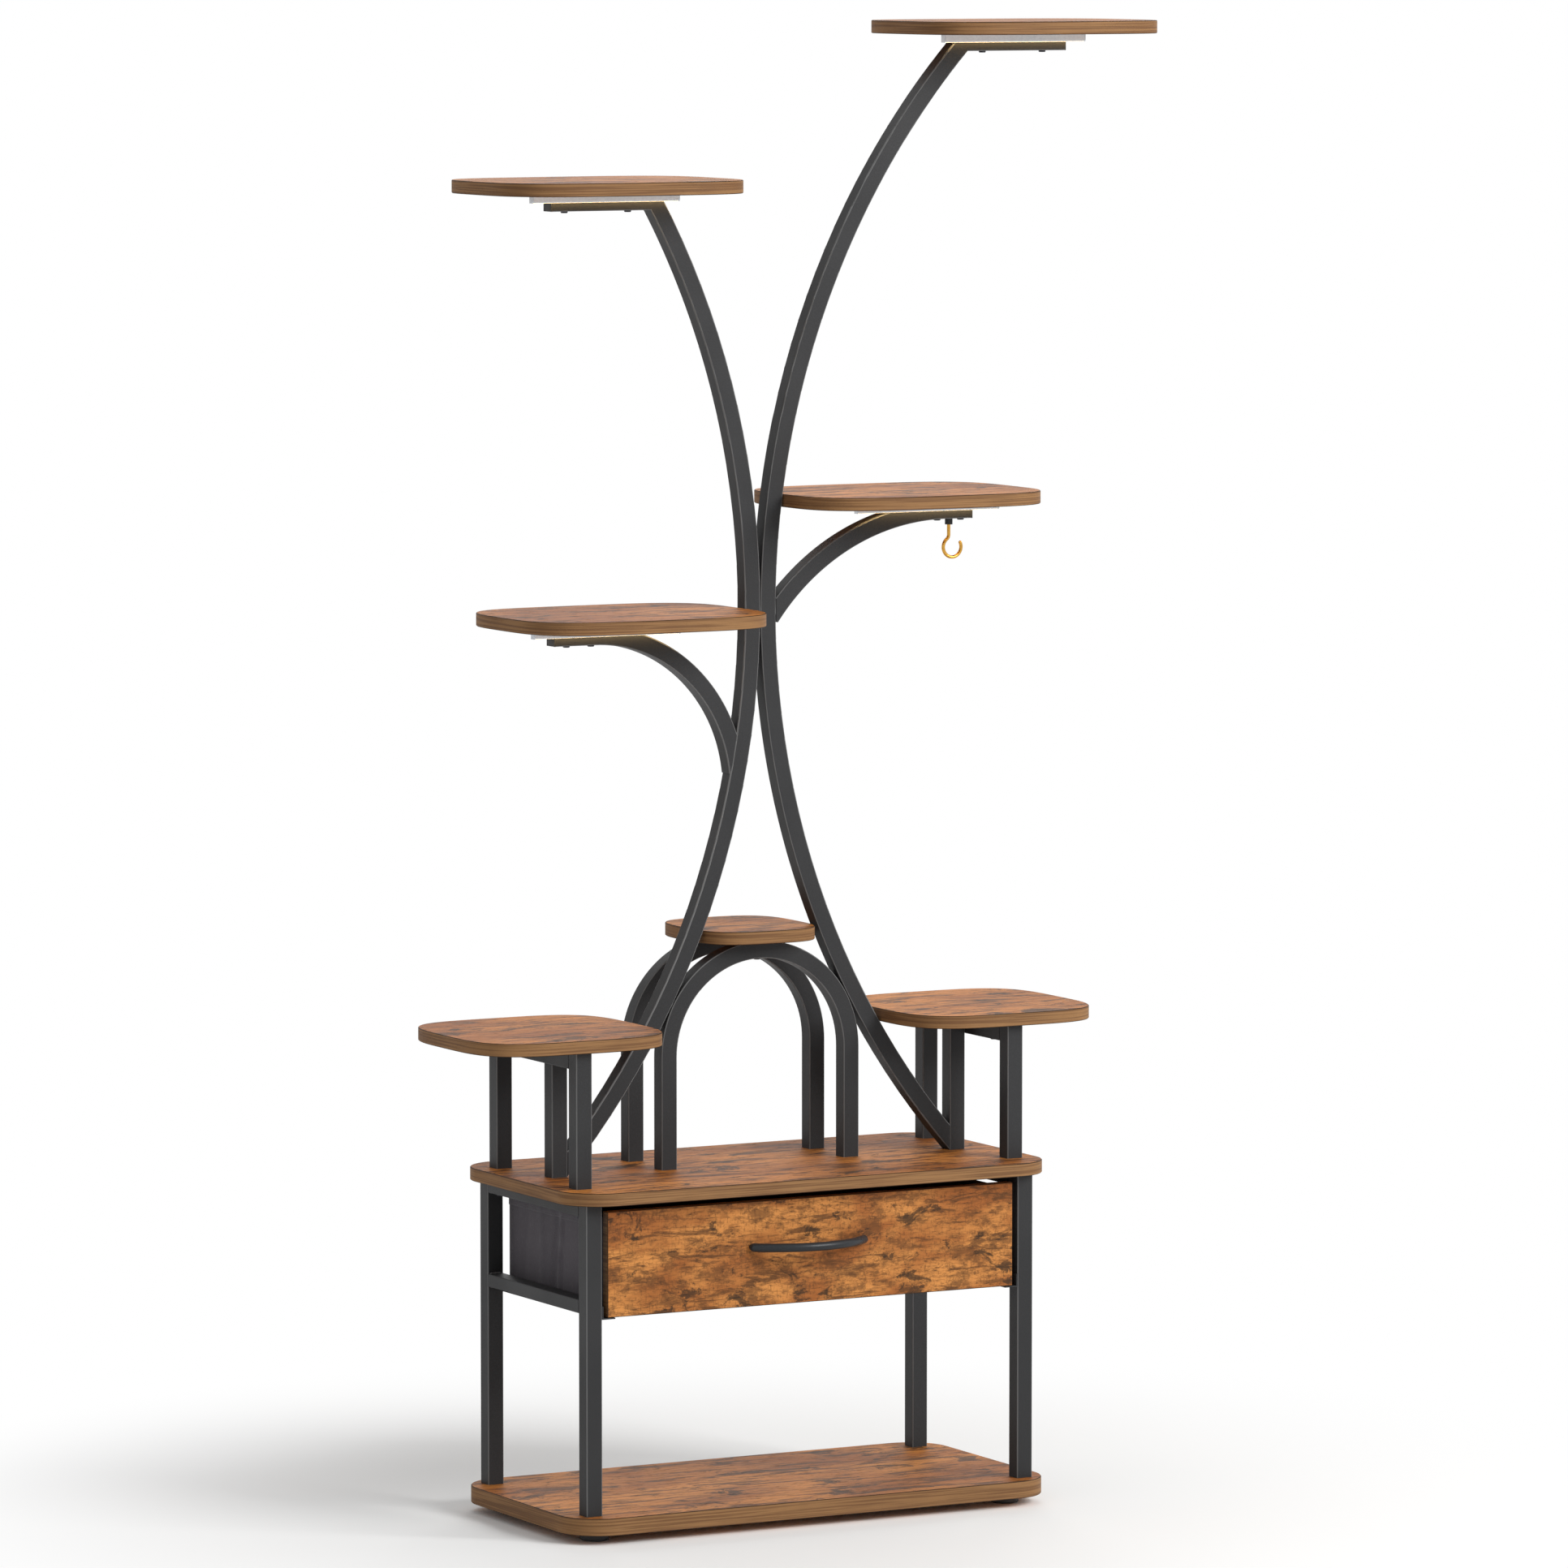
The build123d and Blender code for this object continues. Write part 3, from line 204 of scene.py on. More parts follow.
@dataclass(frozen=True)
class RusticLaminate:
    """Melamine paper printed as weathered timber, hot-pressed on particle board, with an edge band.

    The print gives warm brown boards with dark grain streaks and sooty smudges along X, an
    almost matte surface and a faint pore relief. The edge band is a plainer print with fine level lines,
    and the arris between the two shows as a thin dark line.
    """

    name: str
    facing: Facing
    light: str = "#CC8440"
    middle: str = "#9C5C28"
    dark: str = "#50321C"
    smudge: str = "#2A1F16"
    band: str = "#8C6844"
    band_line: str = "#694A31"
    arris: str = "#3E2C1E"
    tone_size: tuple[float, float] = (240.0, 90.0)
    streak_size: tuple[float, float] = (95.0, 17.0)
    smudge_size: tuple[float, float] = (72.0, 34.0)
    fibre_size: tuple[float, float] = (46.0, 5.0)
    pore_size: tuple[float, float] = (14.0, 3.0)
    patch_size: tuple[float, float, float] = (30.0, 17.0, 17.0)
    hatch_size: tuple[float, float, float] = (2.8, 9.0, 9.0)
    band_line_size: tuple[float, float, float] = (150.0, 150.0, 2.0)
    band_cloud_size: tuple[float, float, float] = (60.0, 60.0, 40.0)
    streak_from: float = 0.50
    smudge_from: float = 0.555
    mottle: float = 0.0
    pore_depth: float = 0.12

    def printed(self, paint: Paint) -> tuple[bpy.types.NodeSocket, bpy.types.NodeSocket]:
        """Print of the faces, layer on layer, with its pore mask."""

        def along(size: tuple[float, float]) -> tuple[float, float, float]:
            """Spacing of a pattern that runs along X."""
            return (size[0], size[1], size[1])

        tone = paint.speckle(along(self.tone_size), 0.36, 0.66, Detail=3.0, Distortion=0.4)
        colour = paint.blend(tone, 1.0, linear(self.light), linear(self.middle))
        if self.mottle > 0.0:
            patch = paint.speckle(self.patch_size, 0.48, 0.60, Detail=8.0, Roughness=0.78)
            colour = paint.blend(patch, self.mottle, colour, linear(self.dark))
            hatch = paint.speckle(self.hatch_size, 0.52, 0.64, Detail=4.0, Roughness=0.7)
            colour = paint.blend(hatch, self.mottle * 0.7, colour, linear(self.dark))
        fibre = paint.speckle(along(self.fibre_size), 0.46, 0.64, Detail=6.0, Roughness=0.72)
        colour = paint.blend(fibre, 0.55, colour, linear(self.dark))
        streak = paint.speckle(
            along(self.streak_size),
            self.streak_from,
            self.streak_from + 0.09,
            Detail=7.0,
            Roughness=0.66,
            Distortion=0.9,
        )
        colour = paint.blend(streak, 0.82, colour, linear(self.dark))
        smudge = paint.speckle(
            along(self.smudge_size),
            self.smudge_from,
            self.smudge_from + 0.06,
            Detail=8.0,
            Roughness=0.72,
            Distortion=0.6,
        )
        colour = paint.blend(smudge, 0.80, colour, linear(self.smudge))
        pore = paint.speckle(along(self.pore_size), 0.56, 0.66, Detail=3.0, Roughness=0.7)
        colour = paint.blend(pore, 0.42, colour, linear(self.smudge))
        return colour, pore

    def build(self) -> bpy.types.Material:
        """Material of a whole board.

        Returns:
            The material: print on the faces, edge band round them, a dark line between.
        """
        paint = Paint(self.name, IOR=1.5, Specular_IOR_Level=0.12)
        colour, pore = self.printed(paint)
        line = paint.speckle(self.band_line_size, 0.42, 0.60, Detail=3.0, Roughness=0.55)
        band = paint.blend(line, 0.85, linear(self.band), linear(self.band_line))
        cloud = paint.speckle(self.band_cloud_size, 0.35, 0.75, Detail=2.0)
        band = paint.blend(cloud, 0.30, band, linear(self.band_line))

        normal = paint.add("ShaderNodeTexCoord", output="Normal")
        part = paint.add("ShaderNodeSeparateXYZ", {"Vector": normal}, output=self.facing.value)
        flat = paint.add("ShaderNodeMath", {0: part}, operation="ABSOLUTE")
        limits = {"Value": flat, "From Min": 0.25, "From Max": 0.45}
        arris = paint.add("ShaderNodeMapRange", limits, interpolation_type="SMOOTHSTEP")
        limits = {"Value": flat, "From Min": 0.85, "From Max": 0.95}
        face = paint.add("ShaderNodeMapRange", limits, interpolation_type="SMOOTHSTEP")
        colour_all = paint.blend(arris, 1.0, band, linear(self.arris))
        colour_all = paint.blend(face, 1.0, colour_all, colour)

        limits = {"Value": pore, "To Min": 0.56, "To Max": 0.70}
        rough = paint.add("ShaderNodeMapRange", limits)
        sunk = paint.add("ShaderNodeMath", {0: 1.0, 1: pore}, operation="SUBTRACT")
        bump = paint.raised(sunk, self.pore_depth)
        return paint.feed(Base_Color=colour_all, Roughness=rough, Normal=bump)


@dataclass(frozen=True)
class PowderCoat:
    """Polyester powder coat, sprayed dry on steel tube and baked.

    It gives a charcoal satin skin with a faint orange peel, a little less gloss in broad
    clouds. The tubes' rounded corners carry a painted highlight: they are drawn lighter,
    standing in for the light lines that they show. They are found by how far a surface turns from facing
    along Y.
    """

    name: str = "charcoal_satin_powder_coat_on_steel"
    colour: str = "#2B2B2C"
    cloud: str = "#232324"
    grit: str = "#4A4B4E"
    # Colour of the painted highlight on the tubes' rounded corners.
    corner: str = "#747474"
    corner_highlight_share: float = 0.75
    roughness: float = 0.46
    cloud_spacing: float = 140.0
    grit_spacing: float = 0.9
    peel_spacing: float = 1.4
    peel_depth: float = 0.035

    def build(self) -> bpy.types.Material:
        """The coat's material."""
        paint = Paint(self.name, IOR=1.5, Specular_IOR_Level=0.22)
        cloud = paint.speckle((self.cloud_spacing,) * 3, 0.35, 0.65, Detail=3.0)
        colour = paint.blend(cloud, 0.6, linear(self.colour), linear(self.cloud))
        grit = paint.speckle((self.grit_spacing,) * 3, 0.45, 0.75, Detail=2.0)
        colour = paint.blend(grit, 0.16, colour, linear(self.grit))
        # Painted highlight: surfaces that turn part way from facing along Y, the rounded corners, are
        # drawn lighter.
        normal = paint.add("ShaderNodeTexCoord", output="Normal")
        part = paint.add("ShaderNodeSeparateXYZ", {"Vector": normal}, output="Y")
        across = paint.add("ShaderNodeMath", {0: part}, operation="ABSOLUTE")
        limits = {"Value": across, "From Min": 0.08, "From Max": 0.45}
        rise = paint.add("ShaderNodeMapRange", limits, interpolation_type="SMOOTHSTEP")
        limits = {"Value": across, "From Min": 0.995, "From Max": 0.90}
        fall = paint.add("ShaderNodeMapRange", limits, interpolation_type="SMOOTHSTEP")
        corner = paint.add("ShaderNodeMath", {0: rise, 1: fall}, operation="MULTIPLY")
        colour = paint.blend(corner, self.corner_highlight_share, colour, linear(self.corner))
        limits = {"Value": cloud, "To Min": self.roughness, "To Max": self.roughness + 0.07}
        rough = paint.add("ShaderNodeMapRange", limits)
        size = (self.peel_spacing,) * 3
        peel = paint.speckle(size, 0.3, 0.7, Detail=1.5)
        return paint.feed(
            Base_Color=colour, Roughness=rough, Normal=paint.raised(peel, self.peel_depth)
        )


@dataclass(frozen=True)
class MouldedPlastic:
    """Injection-moulded plastic or rubber with a spark-eroded mould's fine grain.

    It gives an even, soft-lit surface with a grain of about half a millimetre, drawn a little
    coarser than the real one so that it shows.
    """

    name: str
    colour: str
    fleck: str
    roughness: float
    grain: float = 0.7
    depth: float = 0.04

    def build(self) -> bpy.types.Material:
        """The plastic's material."""
        paint = Paint(self.name, IOR=1.5, Specular_IOR_Level=0.45)
        grain = paint.speckle((self.grain,) * 3, 0.35, 0.68, Detail=2.0)
        colour = paint.blend(grain, 0.35, linear(self.colour), linear(self.fleck))
        cloud = paint.speckle((18.0, 18.0, 18.0), 0.35, 0.7, Detail=2.0)
        limits = {"Value": cloud, "To Min": self.roughness, "To Max": self.roughness + 0.1}
        rough = paint.add("ShaderNodeMapRange", limits)
        return paint.feed(Base_Color=colour, Roughness=rough, Normal=paint.raised(grain, self.depth))


@dataclass(frozen=True)
class Metal:
    """Drawn, turned or plated metal with fine lines along one axis.

    It gives a reflection stretched by fine draw lines and small changes of gloss.
    """

    name: str
    colour: str
    tarnish: str
    roughness: float
    lines: tuple[float, float, float]
    depth: float = 0.01

    def build(self) -> bpy.types.Material:
        """The metal's material."""
        paint = Paint(self.name, Metallic=1.0)
        lines = paint.speckle(self.lines, 0.38, 0.66, Detail=3.0)
        cloud = paint.speckle((11.0, 11.0, 11.0), 0.4, 0.72, Detail=4.0)
        colour = paint.blend(cloud, 0.55, linear(self.colour), linear(self.tarnish))
        limits = {"Value": lines, "To Min": self.roughness, "To Max": self.roughness + 0.12}
        rough = paint.add("ShaderNodeMapRange", limits)
        return paint.feed(Base_Color=colour, Roughness=rough, Normal=paint.raised(lines, self.depth))


@dataclass(frozen=True)
class FeltedCloth:
    """Non-woven polypropylene cloth, spun and point-bonded.

    It gives a dull charcoal cloth whose bond points make a small regular dimple pattern,
    the dimples drawn darker as painted shade, with stray fibres drawn lighter as a painted
    highlight where they catch the light. The real bond points are about 1 mm apart and are drawn
    1.8 mm apart so that they show.
    """

    name: str = "non_woven_charcoal_cloth"
    colour: str = "#484349"
    # Lighter colour of the stray fibres: a painted highlight where they catch the light.
    fibre: str = "#635E64"
    # Darker colour: painted shade in the bond points' dimples, also used for random darker clouds of tone.
    dimple_shade_and_cloud_tone: str = "#332F35"
    bond_spacing: float = 1.8
    roughness: float = 0.86
    depth: float = 0.16

    def build(self) -> bpy.types.Material:
        """The cloth's material."""
        paint = Paint(self.name, IOR=1.48, Specular_IOR_Level=0.25, Sheen_Weight=0.22, Sheen_Roughness=0.5)
        where = paint.add("ShaderNodeTexCoord", output="Object")
        inputs = {"Vector": where, "Scale": 1 / (self.bond_spacing * MM), "Randomness": 0.18}
        point = paint.add("ShaderNodeTexVoronoi", inputs, output="Distance")
        limits = {"Value": point, "From Min": 0.12, "From Max": 0.40}
        bond = paint.add("ShaderNodeMapRange", limits, interpolation_type="SMOOTHSTEP")
        # Painted shade: the bond points' dimples drawn darker.
        colour = paint.blend(bond, 1.0, linear(self.dimple_shade_and_cloud_tone), linear(self.colour))
        # Painted highlight: stray fibres drawn lighter; the same mask also lowers the roughness.
        fibre = paint.speckle((0.7, 0.7, 5.0), 0.5, 0.75, Detail=4.0)
        colour = paint.blend(fibre, 0.5, colour, linear(self.fibre))
        cloud = paint.speckle((60.0, 60.0, 60.0), 0.35, 0.7, Detail=3.0)
        # Random darker clouds of tone over the cloth.
        colour = paint.blend(cloud, 0.3, colour, linear(self.dimple_shade_and_cloud_tone))
        limits = {"Value": fibre, "To Min": self.roughness, "To Max": self.roughness - 0.1}
        rough = paint.add("ShaderNodeMapRange", limits)
        return paint.feed(Base_Color=colour, Roughness=rough, Normal=paint.raised(bond, self.depth))


@dataclass(frozen=True)
class SewingThread:
    """Twisted polyester thread: it gives small glossy stitches, a shade lighter than the cloth."""

    name: str = "twisted_polyester_thread"
    colour: str = "#4A484B"
    ply: str = "#2C2A2D"

    def build(self) -> bpy.types.Material:
        """The thread's material, with plies about 0.4 mm apart."""
        paint = Paint(self.name, IOR=1.52, Roughness=0.5, Specular_IOR_Level=0.4)
        ply = paint.speckle((0.5, 0.5, 0.4), 0.4, 0.6, Detail=1.0)
        colour = paint.blend(ply, 0.7, linear(self.colour), linear(self.ply))
        return paint.feed(Base_Color=colour, Normal=paint.raised(ply, 0.05))


@dataclass(frozen=True)
class FrostedCover:
    """Extruded polycarbonate with a frosted outside, over a lit row of light chips.

    It gives a milky, cool grey bar in front. Its lower face passes the chips' warm light, a
    little brighter under each chip.
    """

    name: str = "frosted_polycarbonate_over_lit_chips"
    colour: str = "#D3DBE4"
    shade: str = "#C4CDD8"
    glow: str = "#FFD58C"
    chip_spacing: float = 10.2
    strength: float = 15.0
    front_strength: float = 0.06

    def build(self) -> bpy.types.Material:
        """The cover's material."""
        paint = Paint(self.name, IOR=1.58, Roughness=0.42, Specular_IOR_Level=0.4)
        cloud = paint.speckle((3.0, 3.0, 3.0), 0.35, 0.7, Detail=3.0)
        colour = paint.blend(cloud, 0.6, linear(self.colour), linear(self.shade))
        normal = paint.add("ShaderNodeTexCoord", output="Normal")
        up = paint.add("ShaderNodeSeparateXYZ", {"Vector": normal}, output="Z")
        limits = {"Value": up, "From Min": -0.93, "From Max": -0.995}
        down = paint.add("ShaderNodeMapRange", limits, interpolation_type="SMOOTHSTEP")
        where = paint.add("ShaderNodeTexCoord", output="Object")
        along = paint.add("ShaderNodeSeparateXYZ", {"Vector": where}, output="X")
        turn = math.tau / (self.chip_spacing * MM)
        phase = paint.add("ShaderNodeMath", {0: along, 1: turn}, operation="MULTIPLY")
        wave = paint.add("ShaderNodeMath", {0: phase}, operation="COSINE")
        inputs = {0: wave, 1: 0.12, 2: 0.88}
        chips = paint.add("ShaderNodeMath", inputs, operation="MULTIPLY_ADD")
        lit = paint.add("ShaderNodeMath", {0: down, 1: chips}, operation="MULTIPLY")
        inputs = {0: lit, 1: self.strength, 2: self.front_strength}
        strength = paint.add("ShaderNodeMath", inputs, operation="MULTIPLY_ADD")
        paint.shader.inputs["Emission Color"].default_value = linear(self.glow)
        grain = paint.speckle((0.5, 0.5, 0.5), 0.35, 0.7, Detail=2.0)
        return paint.feed(
            Base_Color=colour, Emission_Strength=strength, Normal=paint.raised(grain, 0.02)
        )


@dataclass(frozen=True)
class PressedBoard:
    """Hardboard faced with dark cloth: it gives a flat, fuzzy panel with fine flecks."""

    name: str = "cloth_faced_hardboard"
    colour: str = "#343133"
    fleck: str = "#4E4A4B"
    cloud: str = "#242224"

    def build(self) -> bpy.types.Material:
        """The panel's material, with flecks of about 2 mm."""
        paint = Paint(self.name, IOR=1.48, Roughness=0.9, Specular_IOR_Level=0.25)
        fleck = paint.speckle((2.2, 0.6, 0.6), 0.5, 0.7, Detail=4.0)
        colour = paint.blend(fleck, 0.6, linear(self.colour), linear(self.fleck))
        cloud = paint.speckle((70.0, 70.0, 70.0), 0.35, 0.7, Detail=3.0)
        colour = paint.blend(cloud, 0.3, colour, linear(self.cloud))
        return paint.feed(Base_Color=colour, Normal=paint.raised(fleck, 0.08))


FINISHES = {
    Slot.RUSTIC_BOARD: RusticLaminate("rustic_brown_melamine_board", Facing.UP),
    Slot.DRAWER_BOARD: RusticLaminate(
        "distressed_brown_melamine_drawer_front",
        Facing.FORWARD,
        light="#C58446",
        middle="#96592C",
        dark="#573820",
        smudge="#30251B",
        tone_size=(90.0, 38.0),
        streak_size=(64.0, 11.0),
        smudge_size=(48.0, 30.0),
        fibre_size=(22.0, 3.0),
        pore_size=(7.0, 2.6),
        streak_from=0.54,
        smudge_from=0.55,
        mottle=0.66,
    ),
    Slot.POWDER_COAT: PowderCoat(),
    Slot.FOOT_RUBBER: MouldedPlastic("moulded_grey_foot_rubber", "#36383A", "#4A4C4F", 0.62),
    Slot.SCREW_STEEL: Metal("black_zinc_plated_screw_steel", "#3A3A3D", "#1E1E20", 0.34, (0.6, 0.6, 0.6)),
    Slot.INSERT_PLASTIC: MouldedPlastic("moulded_black_nylon_insert", "#161617", "#242426", 0.5),
    Slot.SLEEVE_STEEL: Metal("bare_cold_rolled_sleeve_steel", "#8C8E91", "#6A6C70", 0.3, (0.6, 0.6, 20.0)),
    Slot.BLACK_PLASTIC: MouldedPlastic("moulded_black_polypropylene_plug", "#151515", "#252526", 0.48),
    Slot.DRAWER_FABRIC: FeltedCloth(),
    Slot.HARDBOARD: PressedBoard(),
    Slot.HANDLE_STEEL: PowderCoat(
        "black_satin_powder_coat_on_handle_rod",
        colour="#2A2C2F",
        cloud="#202224",
        # No painted corner highlight on the handle rod.
        corner_highlight_share=0.0,
        roughness=0.26,
        peel_spacing=1.1,
        peel_depth=0.02,
    ),
    Slot.LIGHT_ALUMINIUM: Metal(
        "clear_anodised_light_aluminium", "#C9CDD1", "#B3B7BC", 0.34, (30.0, 0.5, 0.5)
    ),
    Slot.FROSTED_COVER: FrostedCover(),
    Slot.LED_BOARD: MouldedPlastic("white_coated_light_circuit_board", "#DAD8CC", "#F0E4A8", 0.4),
    Slot.INLET_PLASTIC: MouldedPlastic("moulded_black_inlet_plastic", "#1A1A1B", "#28282A", 0.42),
    Slot.BRASS_WIRE: Metal("drawn_and_polished_brass_wire", "#D2A04A", "#A87A30", 0.16, (0.5, 0.5, 7.0)),
}


class Finishes:
    """Every material of the stand, made once from its finish."""

    def __init__(self) -> None:
        """Builds one material for each slot, and the sewing thread."""
        self.by_slot = {slot: finish.build() for slot, finish in FINISHES.items()}
        self.thread = SewingThread().build()

    def dress(self, node: str, slot: Slot) -> None:
        """Gives a CAD node its finish.

        Args:
            node: Name of the CAD node.
            slot: Its slot in the record.
        """
        mesh = frame["nodes"][node].data
        mesh.materials.clear()
        mesh.materials.append(self.by_slot[slot])


def tiles(rows: int, columns: int, wrap: bool = True) -> np.ndarray:
    """Four-sided faces of a grid of points counted row by row.

    Args:
        rows: Number of rows.
        columns: Points in a row.
        wrap: Whether a row closes on itself.

    Returns:
        Point numbers, one row of four for each face.
    """
    last = columns if wrap else columns - 1
    row, column = np.meshgrid(np.arange(rows - 1), np.arange(last), indexing="ij")
    here = row * columns + column
    beside = row * columns + (column + 1) % columns
    faces = np.stack([here, beside, beside + columns, here + columns], axis=-1)
    return faces.reshape(-1, 4)


def caps(rows: int, columns: int, first_pole: int, last_pole: int) -> list[list[int]]:
    """Triangles that close the first and last row of a wrapped grid on two pole points."""
    here = np.arange(columns)
    beside = (here + 1) % columns
    top = (rows - 1) * columns
    first = np.stack([np.full(columns, first_pole), beside, here], axis=-1)
    last = np.stack([np.full(columns, last_pole), here + top, beside + top], axis=-1)
    return np.concatenate([first, last]).tolist()


def new_piece(
    name: str, points: np.ndarray, faces: list, material: bpy.types.Material, body: Body
) -> bpy.types.Object:
    """Makes a mesh object that rides on a body.

    Args:
        name: Name of the piece.
        points: Its points in the frame, in metres, one row each.
        faces: Point numbers of each face, facing outwards.
        material: Its finish.
        body: The body it moves with.

    Returns:
        The new object.
    """
    mesh = bpy.data.meshes.new(name)
    mesh.from_pydata(points.reshape(-1, 3).tolist(), [], faces)
    mesh.polygons.foreach_set("use_smooth", np.ones(len(mesh.polygons), bool))
    mesh.materials.append(material)
    mesh.update()
    piece = bpy.data.objects.new(name, mesh)
    bpy.context.scene.collection.objects.link(piece)
    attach(piece, body.value)
    log.info("%s: %d faces on %s", name, len(mesh.polygons), body.value)
    return piece


@dataclass(frozen=True)
class RoundedRing:
    """Rounded rectangle in plan, measured by its length from the front end of its right side."""

    half_x: float
    half_y: float
    radius: float
    centre_x: float
    centre_y: float

    @property
    def breaks(self) -> np.ndarray:
        """Lengths at which straights and corners start, with the whole length last."""
        side = 2 * (self.half_y - self.radius)
        front = 2 * (self.half_x - self.radius)
        corner = math.pi / 2 * self.radius
        steps = [0, side, corner, front, corner, side, corner, front, corner]
        return np.cumsum(steps)

    def stations(self, step: float, corner_steps: int) -> np.ndarray:
        """Lengths of the points round the ring: evenly spaced on straights, finer in corners."""
        breaks = self.breaks
        parts = []
        for index in range(8):
            span = breaks[index + 1] - breaks[index]
            count = corner_steps if index % 2 else max(2, round(span / step))
            parts.append(np.linspace(breaks[index], breaks[index + 1], count, endpoint=False))
        return np.concatenate(parts)

    def at(self, length: np.ndarray) -> tuple[np.ndarray, np.ndarray]:
        """Points and outward normals of the ring.

        A corner's centre slides along the straights and the normal turns only in the corners,
        so the point is that centre plus the radius times the normal.

        Args:
            length: Distances round the ring.

        Returns:
            Points and unit normals in plan, two columns each.
        """
        breaks = self.breaks
        along_x = self.half_x - self.radius
        along_y = self.half_y - self.radius
        turn = np.interp(length, breaks, np.array([0, 0, 1, 1, 2, 2, 3, 3, 4]) * math.pi / 2)
        x = np.interp(length, breaks, np.array([1, 1, 1, -1, -1, -1, -1, 1, 1]) * along_x)
        y = np.interp(length, breaks, np.array([-1, 1, 1, 1, 1, -1, -1, -1, -1]) * along_y)
        normal = np.stack([np.cos(turn), np.sin(turn)], axis=-1)
        centre = np.array([self.centre_x, self.centre_y])
        return centre + np.stack([x, y], axis=-1) + self.radius * normal, normal


